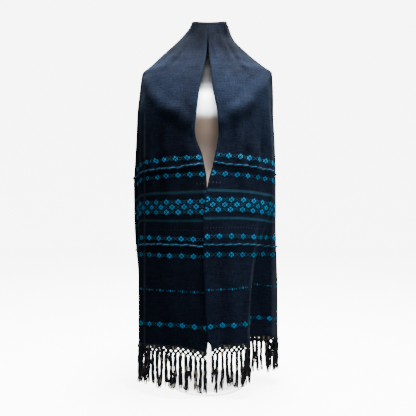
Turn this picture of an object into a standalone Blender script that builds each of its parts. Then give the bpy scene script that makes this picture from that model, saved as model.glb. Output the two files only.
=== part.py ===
"""Rebozo shawl draped over a limbless dress form.

Metres, +Z up. The front faces -Y and +X is the viewer's right. The origin is the middle of the
underside of the stand's base. The cloth is one woven length whose long edge lies over the neck cap:
its two ends hang down the front, and its width turns round the sides to the back.
"""

import math
from collections import namedtuple

import bmesh
import bpy
import numpy as np

MM = 0.001

# Driving sizes
TOP = 1.122  # outer face of the cloth over the neck cap
SHOULDER_SEAM = 0.945  # height where the hood stretch meets the hanging stretches
HEM = 0.139  # height of the woven end, all round
BACK_HEM = 0.720  # height of the long edge at the middle of the back
ARCH_OUT = 0.130  # how far the outer edges stand from the middle at the hem
ARCH_POWER = 0.36  # how round the arch between them is
CLOTH = 0.0018  # wall thickness
SEAM = 0.00018  # each stretch stops this far from the seam line, on either side
GAP = 0.0003  # clearance between pieces that touch

FRINGE_PITCH = 0.0140  # from one tassel to the next
FRINGE_STRIP = 0.006  # height of the strip that carries the fringe
FRINGE_DEPTH = 0.003  # thickness of the strip and of the strands
FUNNEL = 0.007  # height of the gathered warp between the strip and the first knots
FUNNEL_HALF = 0.0042  # half its width at the strip
KNOT_HALF = 0.0033  # half the width of a knot
KNOT_DROP = 0.006  # height of a knot
KNOT_ROWS = 0.013  # from the first row of knots to the second
STRAND_HALF = 0.0020  # half the width of a strand
TIP_FRONT = 0.009  # height of the lowest strand tips, at the front edges
TIP_REAR = 0.024  # height of the tips at the outer edge

RIM = 1.116  # where the cloth over the neck cap turns down
NECK_MIDDLE = 0.001  # the depth of the cap's middle
NECK_ROWS = (RIM, 1.104, 1.090, 1.070)  # rows of the wall round the neck
TENT_ROWS = 7  # rows from there to the shoulders
UPPER_ROWS = 7  # rows from the shoulders to BACK_HEM
ARCH_ROWS = (0.003, 0.012, 0.030, 0.060, 0.105)  # rows under BACK_HEM
LOWER_ROWS = 10
LID_SHARES = (0, 0.55, 0.80, 0.93)  # rings of the cloth over the neck cap, as shares of its rim
LID_FLAT = 0.8  # the lid is flat out to this share, and rounds down from there
LID_ROUND = 0.02

CORD_RADIUS = 0.0018
CORD_CLEAR = 0.00105  # from a cord to the cloth, so that its chords clear the folds of the wall
CORD_SIDES = 4
CORD_END = 0.05  # a cord stops this far before either edge, counted in named points

POLE_RADIUS = 0.0125
BASE_RADIUS = 0.115
BASE_THICK = 0.012

# Plan sections of the cloth, one row a height, in millimetres. Each pair is (out from the middle,
# depth), for the free front edge, the middle of the front, the ridge where the front turns, the
# hollow behind the ridge, the side and the rear. The last number is the depth at the middle of the
# back.
Section = namedtuple("Section", "height edge front ridge hollow side rear back")

LEFT = [
    Section(1116, (0, -46), (22, -45), (44, -37), (53, -20), (57, 1), (42, 34), 49),
    Section(1082, (1, -56), (31, -55), (60, -44), (77, -25), (87, 2), (62, 47), 64),
    Section(1031, (4, -71), (50, -70), (95, -56), (126, -32), (141, 3), (100, 64), 86),
    Section(993, (9, -87), (64, -87), (123, -70), (161, -42), (181, 3), (127, 78), 100),
    Section(971, (13, -99), (72, -100), (143, -82), (184, -49), (205, 3), (144, 89), 108),
    Section(896, (26, -124), (90, -126), (170, -96), (202, -52), (214, 3), (160, 97), 114),
    Section(835, (33, -134), (98, -138), (186, -92), (209, -50), (219, 3), (164, 99), 115),
    Section(775, (39, -135), (100, -139), (188, -91), (210, -48), (220, 3), (168, 99), 115),
    Section(700, (16, -134), (98, -138), (189, -90), (212, -46), (223, 3), (174, 99), 115),
    Section(620, (4, -133), (96, -137), (190, -89), (215, -44), (227, 3), (182, 96), 110),
    Section(500, (3, -132), (96, -136), (192, -87), (214, -42), (226, 3), (188, 92), 104),
    Section(330, (3, -131), (97, -135), (200, -85), (208, -40), (210, 3), (190, 80), 96),
    Section(139, (4, -130), (98, -134), (201, -84), (206, -38), (205, 3), (188, 70), 90),
]

RIGHT = [
    Section(1116, (0, -46), (23, -45), (50, -37), (60, -20), (65, 1), (46, 34), 49),
    Section(1082, (1, -56), (31, -55), (58, -44), (72, -25), (79, 2), (60, 47), 64),
    Section(1031, (3, -71), (50, -70), (91, -56), (116, -32), (128, 3), (97, 64), 86),
    Section(993, (6, -87), (64, -87), (120, -70), (156, -42), (174, 3), (125, 78), 100),
    Section(973, (8, -98), (72, -99), (141, -82), (179, -49), (199, 3), (142, 88), 107),
    Section(896, (15, -124), (90, -126), (164, -96), (191, -52), (201, 3), (155, 97), 114),
    Section(835, (27, -134), (96, -138), (172, -96), (192, -52), (202, 3), (158, 99), 115),
    Section(775, (31, -136), (97, -140), (174, -96), (196, -51), (206, 3), (162, 99), 115),
    Section(700, (20, -138), (96, -142), (178, -94), (199, -50), (210, 3), (168, 99), 115),
    Section(620, (0, -140), (90, -142), (180, -94), (200, -50), (212, 3), (174, 96), 110),
    Section(530, (-12, -140), (80, -142), (166, -104), (186, -52), (213, 1), (180, 92), 105),
    Section(418, (-13, -139), (68, -141), (139, -119), (152, -52), (213, -7), (190, 86), 99),
    Section(310, (-9, -138), (60, -140), (122, -128), (128, -47), (214, -11), (198, 74), 94),
    Section(139, (10, -135), (62, -138), (120, -127), (124, -41), (214, -12), (198, 62), 90),
]

# Columns of the wall between one named point of a section and the next.
STEPS = (4, 5, 4, 4, 6, 5)
SIDE_STEP = 4  # the side's place; the hanging fronts run from the edge to here
BACK_STEP = 6  # the place of the middle of the back, or of the outer edge below it
SIDE_SPAN = 0.055  # about the length of cloth from one named point to the next at the side

# Soft folds. Their place along a section, counted in named points (2 is the ridge, 5 the rear), and
# half their width in the same count, each where the fold starts and at the hem; their depth; and the
# heights where they start and where they are full.
Fold = namedtuple("Fold", "place_top place_foot half_top half_foot depth start full")

LEFT_FOLDS = [
    Fold(1.30, 1.05, 0.30, 0.30, 0.003, 1.08, 1.00),
    Fold(0.45, 0.50, 0.35, 0.35, 0.003, 0.84, 0.70),
    Fold(1.35, 1.45, 0.40, 0.40, 0.004, 0.80, 0.50),
    Fold(3.45, 3.40, 0.38, 0.30, 0.006, 0.90, 0.60),
    Fold(4.45, 4.30, 0.35, 0.25, -0.015, 0.88, 0.42),
    Fold(5.20, 4.80, 0.34, 0.24, -0.017, 0.86, 0.42),
    Fold(5.55, 5.08, 0.40, 0.22, 0.007, 0.93, 0.70),
]

RIGHT_FOLDS = [
    Fold(1.20, 1.05, 0.30, 0.30, 0.003, 1.08, 1.00),
    Fold(0.75, 0.60, 0.35, 0.35, -0.004, 0.84, 0.72),
    Fold(1.30, 1.30, 0.35, 0.35, 0.004, 0.84, 0.70),
    Fold(3.50, 3.45, 0.34, 0.34, -0.005, 0.90, 0.60),
    Fold(4.50, 4.36, 0.34, 0.26, -0.014, 0.86, 0.40),
    Fold(5.15, 4.86, 0.35, 0.25, -0.018, 0.87, 0.42),
    Fold(5.52, 5.12, 0.40, 0.22, 0.007, 0.92, 0.70),
]

# How far a weft line has dropped at each named point, for a line that starts DROP_HEIGHT high.
WEFT_DROP = (0, 0.003, 0.010, 0.016, 0.024, 0.038, 0.050)
DROP_HEIGHT = 0.70

# Twisted cords laid along the weft: height at the front edge, extra drop at the side.
Cord = namedtuple("Cord", "name side height extra_drop")

CORDS = [
    Cord("cord_upper_left", -1, 0.684, 0.012),
    Cord("cord_upper_right", 1, 0.686, 0.006),
    Cord("cord_lower_left", -1, 0.445, 0.010),
    Cord("cord_lower_right", 1, 0.447, 0.006),
]

# Rings of the dress form from the bottom up: height, half width, depth in front, depth behind,
# and how far the bust stands out on either side of the middle.
Ring = namedtuple("Ring", "height half front back bust")

FORM = [
    Ring(0.396, 0.120, 0.070, 0.076, 0),
    Ring(0.399, 0.148, 0.086, 0.094, 0),
    Ring(0.412, 0.158, 0.093, 0.101, 0),
    Ring(0.470, 0.166, 0.099, 0.106, 0),
    Ring(0.530, 0.164, 0.099, 0.103, 0),
    Ring(0.600, 0.143, 0.092, 0.088, 0),
    Ring(0.670, 0.122, 0.086, 0.078, 0),
    Ring(0.730, 0.128, 0.092, 0.082, 0),
    Ring(0.780, 0.142, 0.104, 0.093, 0.007),
    Ring(0.830, 0.160, 0.111, 0.102, 0.018),
    Ring(0.865, 0.166, 0.108, 0.106, 0.014),
    Ring(0.905, 0.173, 0.099, 0.105, 0.004),
    Ring(0.940, 0.189, 0.088, 0.101, 0),
    Ring(0.962, 0.192, 0.079, 0.096, 0),
    Ring(0.980, 0.168, 0.068, 0.084, 0),
    Ring(1.000, 0.124, 0.060, 0.073, 0),
    Ring(1.022, 0.078, 0.051, 0.062, 0),
    Ring(1.045, 0.055, 0.044, 0.051, 0),
    Ring(1.080, 0.046, 0.041, 0.045, 0),
    Ring(1.108, 0.045, 0.041, 0.044, 0),
    Ring(1.1175, 0.040, 0.036, 0.038, 0),
]
FORM_TOP = TOP - CLOTH - GAP
FORM_CAP_HALF = 0.028
FORM_SIDES = 28
BUST_OUT = 0.085  # the fullest point of the bust, out from the middle


def clear_scene():
    for obj in list(bpy.data.objects):
        bpy.data.objects.remove(obj, do_unlink=True)


def material(name, colour, roughness):
    mat = bpy.data.materials.new(name)
    mat.use_nodes = True
    shader = mat.node_tree.nodes["Principled BSDF"]
    shader.inputs["Base Color"].default_value = (*colour, 1)
    shader.inputs["Roughness"].default_value = roughness
    shader.inputs["Metallic"].default_value = 0
    return mat


def new_object(name, verts, faces, mat, smooth=True):
    mesh = bpy.data.meshes.new(name)
    mesh.from_pydata([tuple(map(float, v)) for v in verts], [], faces)
    mesh.materials.append(mat)
    bm = bmesh.new()
    bm.from_mesh(mesh)
    bmesh.ops.remove_doubles(bm, verts=bm.verts, dist=1e-6)
    bm.to_mesh(mesh)
    bm.free()
    if smooth:
        mesh.shade_smooth()
    obj = bpy.data.objects.new(name, mesh)
    PART.objects.link(obj)
    return obj


def solidify(obj, thickness, offset):
    mod = obj.modifiers.new("Thickness", "SOLIDIFY")
    mod.thickness = thickness
    mod.offset = offset


def rise(x, start, end):
    """0 before start, 1 after end, and smooth in between."""
    t = np.clip((x - start) / (end - start), 0, 1)
    return t * t * (3 - 2 * t)


def through(xs, ys, x):
    """A smooth curve through the points (xs, ys) that never swings past them."""
    order = np.argsort(xs)
    xs, ys = np.asarray(xs, float)[order], np.asarray(ys, float)[order]
    width = np.diff(xs)
    slope = np.diff(ys) / width
    tangent = np.zeros(len(xs))
    same = slope[1:] * slope[:-1] > 0
    mean = 2 * slope[1:] * slope[:-1] / np.where(same, slope[1:] + slope[:-1], 1)
    tangent[1:-1] = np.where(same, mean, 0)
    tangent[0], tangent[-1] = slope[0], slope[-1]
    x = np.clip(x, xs[0], xs[-1])
    i = np.clip(np.searchsorted(xs, x, side="right") - 1, 0, len(width) - 1)
    t = (x - xs[i]) / width[i]
    start = ys[i] * (1 + 2 * t) * (1 - t) ** 2 + width[i] * tangent[i] * t * (1 - t) ** 2
    end = ys[i + 1] * t * t * (3 - 2 * t) + width[i] * tangent[i + 1] * t * t * (t - 1)
    return start + end


def section_points(side, height):
    """The named points of the section at a height, as (x, y), out to the middle of the back."""
    table = LEFT if side < 0 else RIGHT
    heights = [row.height * MM for row in table]
    points = []
    for name in Section._fields[1:-1]:
        out = through(heights, [getattr(row, name)[0] * MM for row in table], height)
        depth = through(heights, [getattr(row, name)[1] * MM for row in table], height)
        points.append((side * out, depth))
    back = through(heights, [row.back * MM for row in table], height)
    return np.array([*points, (0, back)])


def plan_at(points, place):
    """The smooth plan curve through the points, mirrored past the middle of the back.

    Gives its points and its directions at places counted in named points."""
    before = 2 * points[0] - points[1]
    p = np.vstack([before, points, points[-2] * (-1, 1)])
    i = np.minimum(place.astype(int), BACK_STEP - 1)
    t = (place - i)[:, None]
    a, b, c, d = p[i], p[i + 1], p[i + 2], p[i + 3]
    bend, twist = 2 * a - 5 * b + 4 * c - d, 3 * b - a - 3 * c + d
    curve = 0.5 * (2 * b + (c - a) * t + bend * t**2 + twist * t**3)
    along = 0.5 * ((c - a) + 2 * bend * t + 3 * twist * t**2)
    return curve, along / np.linalg.norm(along, axis=1)[:, None]


def outer_edge(points, height):
    """Where the cloth ends on the plan curve: the middle of the back, or below BACK_HEM the outer
    edge, which leaves the middle as a round arch."""
    if height >= BACK_HEM:
        return BACK_STEP
    out = ARCH_OUT * ((BACK_HEM - height) / (BACK_HEM - HEM)) ** ARCH_POWER
    tries = np.linspace(SIDE_STEP, BACK_STEP, 81)
    return np.interp(-out, -np.abs(plan_at(points, tries)[0][:, 0]), tries)


def spots(side, height, place):
    """Where the wall's places lie on the plan curve. Past the side they are squeezed together, so
    that BACK_STEP is always where the cloth ends."""
    place = np.asarray(place, float)
    share = (outer_edge(section_points(side, height), height) - SIDE_STEP) / (BACK_STEP - SIDE_STEP)
    return np.where(place > SIDE_STEP, SIDE_STEP + (place - SIDE_STEP) * share, place)


def surface(side, height, spot):
    """Points of the cloth's outer face at one height, with its folds, and the level directions out."""
    curve, along = plan_at(section_points(side, height), spot)
    outward = np.column_stack([along[:, 1], -along[:, 0]]) * side
    push = np.zeros(len(spot))
    for fold in LEFT_FOLDS if side < 0 else RIGHT_FOLDS:
        down = (fold.start - height) / (fold.start - HEM)
        centre = fold.place_top + (fold.place_foot - fold.place_top) * down
        half = fold.half_top + (fold.half_foot - fold.half_top) * down
        near = np.clip(np.abs(spot - centre) / half, 0, 1)
        push += fold.depth * rise(-height, -fold.start, -fold.full) * np.cos(near * math.pi / 2) ** 2
    curve = curve + outward * push[:, None]
    curve[spot >= BACK_STEP, 0] = 0
    points = np.column_stack([curve, np.full(len(spot), height)])
    return points, np.column_stack([outward, np.zeros(len(spot))])


def cloth_row(side, height, place):
    """Points of the cloth's outer face at one height."""
    return surface(side, height, spots(side, height, place))[0]


def cloth_normal(side, height, place):
    """Unit normals of the cloth's outer face at one height, square to its folds and its slope."""
    small = 0.004  # how far apart the points are that give the surface's slope
    spot = spots(side, height, place)
    outward = surface(side, height, spot)[1]
    ahead = surface(side, height, np.minimum(spot + small, BACK_STEP))[0]
    behind = surface(side, height, np.maximum(spot - small, 0))[0]
    above = surface(side, min(height + small, RIM), spot)[0]
    below = surface(side, max(height - small, HEM), spot)[0]
    normal = np.cross(ahead - behind, above - below)
    normal /= np.linalg.norm(normal, axis=1)[:, None]
    normal *= np.sign(np.sum(normal * outward, axis=1))[:, None]
    normal[spot >= BACK_STEP, 0] = 0
    return normal


def cloth_inner(side, height, place):
    """The inner face behind cloth_row: its points moved in by the wall's thickness."""
    return cloth_row(side, height, place) - cloth_normal(side, height, place) * CLOTH


def places(first=0, last=BACK_STEP):
    """The wall's columns from one named point to another."""
    steps = [i + k / n for i, n in enumerate(STEPS) for k in range(n)]
    return np.array([p for p in [*steps, BACK_STEP] if first <= p <= last])


def grid_faces(rows, columns, start, flip):
    faces = []
    for r in range(rows - 1):
        for c in range(columns - 1):
            a = start + r * columns + c
            quad = (a, a + 1, a + columns + 1, a + columns)
            faces.append(quad[::-1] if flip else quad)
    return faces


def wall(name, outer, inner, faces, mat):
    """A closed wall between two faces of the cloth. Points that coincide are one point."""
    found, index = {}, []
    for k, point in enumerate(outer):
        key = tuple(round(float(x), 6) for x in point)
        index.append(found.setdefault(key, k))
    kept = sorted(set(index))
    order = {k: i for i, k in enumerate(kept)}
    sheet = []
    for face in faces:
        ring = list(dict.fromkeys(order[index[k]] for k in face))
        if len(ring) > 2:
            sheet.append(ring)
    count = len(kept)
    edges = {(ring[i - 1], ring[i]) for ring in sheet for i in range(len(ring))}
    rim = [(b, a, a + count, b + count) for a, b in sorted(edges) if (b, a) not in edges]
    back = [[k + count for k in reversed(ring)] for ring in sheet]
    verts = [outer[k] for k in kept] + [inner[k] for k in kept]
    return new_object(name, verts, [*sheet, *back, *rim], mat)


def stretch(name, patches, mat):
    """A wall from patches (side, heights from the top down, places), joined where they meet."""
    outer, inner, faces = [], [], []
    for side, heights, place in patches:
        start = len(outer)
        for height in heights:
            outer += list(cloth_row(side, height, place))
            inner += list(cloth_inner(side, height, place))
        faces += grid_faces(len(heights), len(place), start, side > 0)
    return wall(name, outer, inner, faces, mat)


def hanging_heights():
    """Heights of the hanging rows, closer together where the back's arch starts."""
    upper = np.linspace(SHOULDER_SEAM - SEAM, BACK_HEM, UPPER_ROWS)
    arch = [BACK_HEM - drop for drop in ARCH_ROWS]
    lower = np.linspace(arch[-1], HEM, LOWER_ROWS)[1:]
    return [*upper, *arch, *lower]


def build_hood(mat):
    """Over the neck cap and the shoulders: a small crowned lid, then a tent to the shoulder tips."""
    place = places()
    heights = [*NECK_ROWS, *np.linspace(NECK_ROWS[-1], SHOULDER_SEAM + SEAM, TENT_ROWS)[1:]]
    outer, inner, faces = [], [], []
    for side in (-1, 1):
        start = len(outer)
        edge = cloth_row(side, RIM, place)
        under = cloth_inner(side, RIM, place)
        middle = np.array([0, NECK_MIDDLE, TOP])
        for share in LID_SHARES:
            row = middle + (edge - middle) * share
            row[:, 2] = TOP - LID_ROUND * max(0, share - LID_FLAT) ** 2
            outer += list(row)
            row = middle + (under - middle) * share
            row[:, 2] = TOP - CLOTH - LID_ROUND * max(0, share - LID_FLAT) ** 2
            inner += list(row)
        for height in heights:
            outer += list(cloth_row(side, height, place))
            inner += list(cloth_inner(side, height, place))
        faces += grid_faces(len(LID_SHARES) + len(heights), len(place), start, side > 0)
    wall("shawl_hood", outer, inner, faces, mat)


def build_fronts(mat):
    heights = hanging_heights()
    place = places(0, SIDE_STEP)
    place[-1] -= SEAM / SIDE_SPAN
    stretch("shawl_front_left", [(-1, heights, place)], mat)
    stretch("shawl_front_right", [(1, heights, place)], mat)


def build_back(mat):
    heights = hanging_heights()
    place = places(SIDE_STEP)
    place[0] += SEAM / SIDE_SPAN
    stretch("shawl_back", [(-1, heights, place), (1, heights, place)], mat)


def weft_height(front_height, place):
    """The height of a weft line along a section; the line is level at the hem."""
    drop = through(range(len(WEFT_DROP)), WEFT_DROP, place)
    return front_height - drop * (front_height - HEM) / (DROP_HEIGHT - HEM)


def build_cord(cord, mat):
    """A yarn couched along the weft, just clear of the cloth's outer face."""
    place = places()
    place = place[(place > CORD_END) & (place < BACK_STEP - CORD_END)]
    verts, faces, middle = [], [], []
    up = np.array([0, 0, 1])
    for p in place:
        height = weft_height(cord.height, p) - cord.extra_drop * rise(p, 0, SIDE_STEP)
        point = cloth_row(cord.side, height, [p])[0]
        normal = cloth_normal(cord.side, height, [p])[0]
        middle.append(point + normal * (CORD_RADIUS + CORD_CLEAR))
        for k in range(CORD_SIDES):
            turn = 2 * math.pi * k / CORD_SIDES
            verts.append(middle[-1] + CORD_RADIUS * (math.cos(turn) * normal + math.sin(turn) * up))
    for i in range(len(middle) - 1):
        for k in range(CORD_SIDES):
            a, b = i * CORD_SIDES + k, i * CORD_SIDES + (k + 1) % CORD_SIDES
            faces.append((a, b, b + CORD_SIDES, a + CORD_SIDES))
    faces.append(tuple(range(CORD_SIDES))[::-1])
    faces.append(tuple(len(verts) - CORD_SIDES + k for k in range(CORD_SIDES)))
    obj = new_object(cord.name, verts, faces, mat)
    bm = bmesh.new()
    bm.from_mesh(obj.data)
    bmesh.ops.recalc_face_normals(bm, faces=bm.faces)
    bm.to_mesh(obj.data)
    bm.free()


class HemLine:
    """The woven end seen in plan: a point and an outward normal for each distance along it."""

    def __init__(self, side):
        place = np.linspace(0, BACK_STEP, 241)
        self.outward = cloth_normal(side, HEM, place)[:, :2]
        self.outward /= np.linalg.norm(self.outward, axis=1)[:, None]
        self.points = cloth_row(side, HEM, place)[:, :2] - self.outward * CLOTH / 2
        step = np.linalg.norm(np.diff(self.points, axis=0), axis=1)
        self.along = np.concatenate([[0], np.cumsum(step)])
        self.length = self.along[-1]

    def at(self, distance, height, push=0.0):
        x, y = (np.interp(distance, self.along, self.points[:, k]) for k in (0, 1))
        nx, ny = (np.interp(distance, self.along, self.outward[:, k]) for k in (0, 1))
        return (x + nx * push, y + ny * push, height)


def sway(index, phase):
    """An even-looking but irregular value from -1 to 1 for one strand."""
    return math.sin(2.4 * index + phase) * 0.6 + math.sin(5.3 * index + 2 * phase) * 0.4


def build_fringe(name, side, mat):
    """The knotted fringe of one end: a strip, gathered warp, two rows of knots and free strands.

    It is drawn flat along the hem line, as faces that share their edges, and then thickened.
    """
    hem = HemLine(side)
    count = int((hem.length - 2 * FUNNEL_HALF) // FRINGE_PITCH) + 1
    start = (hem.length - (count - 1) * FRINGE_PITCH) / 2
    top = HEM - GAP
    strip = top - FRINGE_STRIP
    first = strip - FUNNEL
    second = first - KNOT_ROWS
    verts, faces = [], []

    def vertex(distance, height, push=0.0):
        verts.append(hem.at(distance, height, push))
        return len(verts) - 1

    upper, lower, knots = [], [], []
    for i in range(count):
        s = start + i * FRINGE_PITCH
        left, right = s - FUNNEL_HALF, s + FUNNEL_HALF
        if i == 0:
            left = 0.0
        if i == count - 1:
            right = hem.length
        upper += [vertex(left, top), vertex(right, top)]
        lower += [vertex(left, strip), vertex(right, strip)]
        shoulders = [vertex(s - KNOT_HALF * 0.6, first), vertex(s + KNOT_HALF * 0.6, first)]
        faces.append((lower[-2], shoulders[0], shoulders[1], lower[-1]))
        ends = [vertex(s - KNOT_HALF, first - KNOT_DROP / 2), vertex(s, first - KNOT_DROP),
                vertex(s + KNOT_HALF, first - KNOT_DROP / 2)]
        faces.append((shoulders[0], *ends, shoulders[1]))
        knots.append(ends)
    for k in range(len(upper) - 1):
        faces.append((upper[k], lower[k], lower[k + 1], upper[k + 1]))

    for i in range(count - 1):
        s = start + (i + 0.5) * FRINGE_PITCH
        west = vertex(s - KNOT_HALF, second)
        north = vertex(s, second + KNOT_DROP / 2)
        east = vertex(s + KNOT_HALF, second)
        foot = [vertex(s - STRAND_HALF, second - KNOT_DROP / 2), vertex(s + STRAND_HALF, second - KNOT_DROP / 2)]
        faces.append((knots[i][2], knots[i][1], west, north))
        faces.append((knots[i + 1][1], knots[i + 1][0], north, east))
        faces.append((north, west, foot[0], foot[1], east))
        share = s / hem.length
        tip = TIP_FRONT + (TIP_REAR - TIP_FRONT) * share + 0.006 * (1 + sway(i, side + 0.3))
        above = second - KNOT_DROP / 2
        for part, drift in ((0.5, 0.0022), (1.0, 0.0034)):
            centre = s + drift * sway(i + 3 * part, side)
            push = 0.003 * part * sway(i, side + 2.1)
            height = above + (tip - above) * part
            half = STRAND_HALF * (1 - 0.25 * part)
            step = [vertex(centre - half, height, push), vertex(centre + half, height, push)]
            faces.append((foot[0], step[0], step[1], foot[1]))
            foot = step
    if side < 0:
        faces = [face[::-1] for face in faces]
    obj = new_object(name, verts, faces, mat, smooth=False)
    solidify(obj, FRINGE_DEPTH, 0)


def ring_points(ring, height):
    """One ring of the form; its front carries the bust."""
    points = []
    for k in range(FORM_SIDES):
        turn = 2 * math.pi * k / FORM_SIDES
        x = ring.half * math.sin(turn)
        depth = ring.front if math.cos(turn) > 0 else ring.back
        y = -depth * math.copysign(abs(math.cos(turn)) ** 0.9, math.cos(turn))
        if math.cos(turn) > 0:
            y -= ring.bust * math.exp(-(((abs(x) - BUST_OUT) / 0.045) ** 2)) * math.cos(turn)
        points.append((x, y, height))
    return points


def build_form(mat):
    verts, faces = [], []
    rings = [*FORM, Ring(FORM_TOP, FORM_CAP_HALF, FORM_CAP_HALF * 0.92, FORM_CAP_HALF * 0.98, 0)]
    for ring in rings:
        verts += ring_points(ring, ring.height)
    for r in range(len(rings) - 1):
        for k in range(FORM_SIDES):
            a, b = r * FORM_SIDES + k, r * FORM_SIDES + (k + 1) % FORM_SIDES
            faces.append((a, b, b + FORM_SIDES, a + FORM_SIDES))
    faces.append(tuple(range(FORM_SIDES))[::-1])
    faces.append(tuple(len(verts) - FORM_SIDES + k for k in range(FORM_SIDES)))
    new_object("form_torso", verts, faces, mat)


def turned(name, profile, mat, steps):
    """A solid of revolution from its outer side, top to bottom, as (radius, height)."""
    mesh = bpy.data.meshes.new(name)
    mesh.from_pydata([(r, 0, z) for r, z in profile], [(i, i + 1) for i in range(len(profile) - 1)], [])
    mesh.materials.append(mat)
    obj = bpy.data.objects.new(name, mesh)
    PART.objects.link(obj)
    screw = obj.modifiers.new("Turn", "SCREW")
    screw.steps = steps
    screw.render_steps = steps
    screw.use_merge_vertices = True
    screw.merge_threshold = 0.00005


def build_stand(pole_mat, base_mat):
    foot = BASE_THICK + GAP
    top = FORM[0].height - GAP
    turned("stand_pole", [(0, top), (POLE_RADIUS, top), (POLE_RADIUS, foot), (0, foot)], pole_mat, 20)
    edge = 0.002
    rim = [(0, BASE_THICK), (BASE_RADIUS - 3 * edge, BASE_THICK), (BASE_RADIUS - edge, BASE_THICK - edge),
           (BASE_RADIUS, BASE_THICK - 3 * edge), (BASE_RADIUS, edge), (BASE_RADIUS - edge, 0), (0, 0)]
    turned("stand_base", rim, base_mat, 40)


clear_scene()
PART = bpy.data.collections.new("rebozo_shawl")
bpy.context.scene.collection.children.link(PART)

woven_navy = material("woven_navy", (0.012, 0.018, 0.035), 0.9)
fringe_yarn = material("fringe_yarn", (0.008, 0.010, 0.016), 0.9)
cord_yarn = material("cord_yarn", (0.05, 0.14, 0.25), 0.85)
form_cover = material("form_cover", (0.82, 0.80, 0.77), 0.6)
stand_paint = material("stand_paint", (0.86, 0.86, 0.85), 0.4)

build_hood(woven_navy)
build_fronts(woven_navy)
build_back(woven_navy)
for one_cord in CORDS:
    build_cord(one_cord, cord_yarn)
build_fringe("fringe_left", -1, fringe_yarn)
build_fringe("fringe_right", 1, fringe_yarn)
build_form(form_cover)
build_stand(stand_paint, stand_paint)
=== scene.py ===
"""The looks of a rebozo shawl on the dress form that it rests on.

The shawl is one woven length. Its long edge lies over the neck cap, its two ends hang down the front
and its width turns round the sides to the back. Metres, +Z up, the front faces -Y.
"""

import math
import re
from collections import namedtuple

import bpy
import numpy as np
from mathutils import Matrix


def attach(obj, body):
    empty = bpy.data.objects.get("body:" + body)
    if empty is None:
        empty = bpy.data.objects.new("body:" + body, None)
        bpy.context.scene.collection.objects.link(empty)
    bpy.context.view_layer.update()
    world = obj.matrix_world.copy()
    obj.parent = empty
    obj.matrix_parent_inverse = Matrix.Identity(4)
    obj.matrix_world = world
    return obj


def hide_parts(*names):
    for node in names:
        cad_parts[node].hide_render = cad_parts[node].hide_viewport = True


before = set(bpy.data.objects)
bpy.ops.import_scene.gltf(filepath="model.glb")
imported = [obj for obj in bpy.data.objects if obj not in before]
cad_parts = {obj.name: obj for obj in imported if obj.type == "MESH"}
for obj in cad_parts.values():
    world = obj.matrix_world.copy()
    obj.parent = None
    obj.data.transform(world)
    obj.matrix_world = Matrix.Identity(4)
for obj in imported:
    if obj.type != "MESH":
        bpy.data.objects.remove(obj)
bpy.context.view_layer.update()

MM = 0.001


def named(kind, rows):
    """The rows of a table as named tuples."""
    return [kind(*row) for row in rows]


# Sizes shared with the CAD model
TOP = 1.122
RIM = 1.116
HEM = 0.139
BACK_HEM = 0.720
ARCH_OUT = 0.130
ARCH_POWER = 0.36
NECK_MIDDLE = 0.001
LID_FLAT = 0.8
LID_ROUND = 0.02
SIDE_STEP = 4
BACK_STEP = 6

# Sizes of the scene's cloth alone
CLOTH = 0.0015  # its thickness, where the CAD's wall is 1.8 mm
LID_CURL = 1.4  # rise of the lid's corners, for each metre out squared
HEM_LEVEL = 0.150  # the level of the last weft line
ROWS = 205  # weft lines of the grid
ARCH_ROWS = (0.0003, 0.0012, 0.0028)  # and how far under the back's hem three more lie
HALVINGS = 24  # of the search for the cloth's outer edge
SOFTEN = 0.030  # how far up and down the turn of the shoulders is rounded

# Plan sections of the cloth in millimetres: (out from the middle, depth) of the free front edge, the
# middle of the front, the ridge where the front turns, the hollow behind it, the side and the rear,
# and the depth at the middle of the back. They are the CAD's, apart from the neck rim, the left free
# edge at 330 and the rows at the hem.
Section = namedtuple("Section", "height edge front ridge hollow side rear back")

LEFT = named(Section, [
    (1116, (0, -46), (24, -46), (46, -42), (53, -22), (57, 1), (42, 34), 49),
    (1082, (1, -56), (31, -55), (60, -44), (77, -25), (87, 2), (62, 47), 64),
    (1031, (4, -71), (50, -70), (95, -56), (126, -32), (141, 3), (100, 64), 86),
    (993, (9, -87), (64, -87), (123, -70), (161, -42), (181, 3), (127, 78), 100),
    (971, (13, -99), (72, -100), (143, -82), (184, -49), (205, 3), (144, 89), 108),
    (896, (26, -124), (90, -126), (170, -96), (202, -52), (214, 3), (160, 97), 114),
    (835, (33, -134), (98, -138), (186, -92), (209, -50), (219, 3), (164, 99), 115),
    (775, (39, -135), (100, -139), (188, -91), (210, -48), (220, 3), (168, 99), 115),
    (700, (16, -134), (98, -138), (189, -90), (212, -46), (223, 3), (174, 99), 115),
    (620, (4, -133), (96, -137), (190, -89), (215, -44), (227, 3), (182, 96), 110),
    (500, (3, -132), (96, -136), (192, -87), (214, -42), (226, 3), (188, 92), 104),
    (330, (1, -131), (97, -135), (200, -85), (208, -40), (210, 3), (190, 80), 96),
    (168, (0, -130), (98, -134), (201, -84), (206, -38), (206, 3), (188, 71), 91),
    (139, (4, -130), (98, -134), (201, -84), (206, -38), (205, 3), (188, 70), 90),
])

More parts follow.
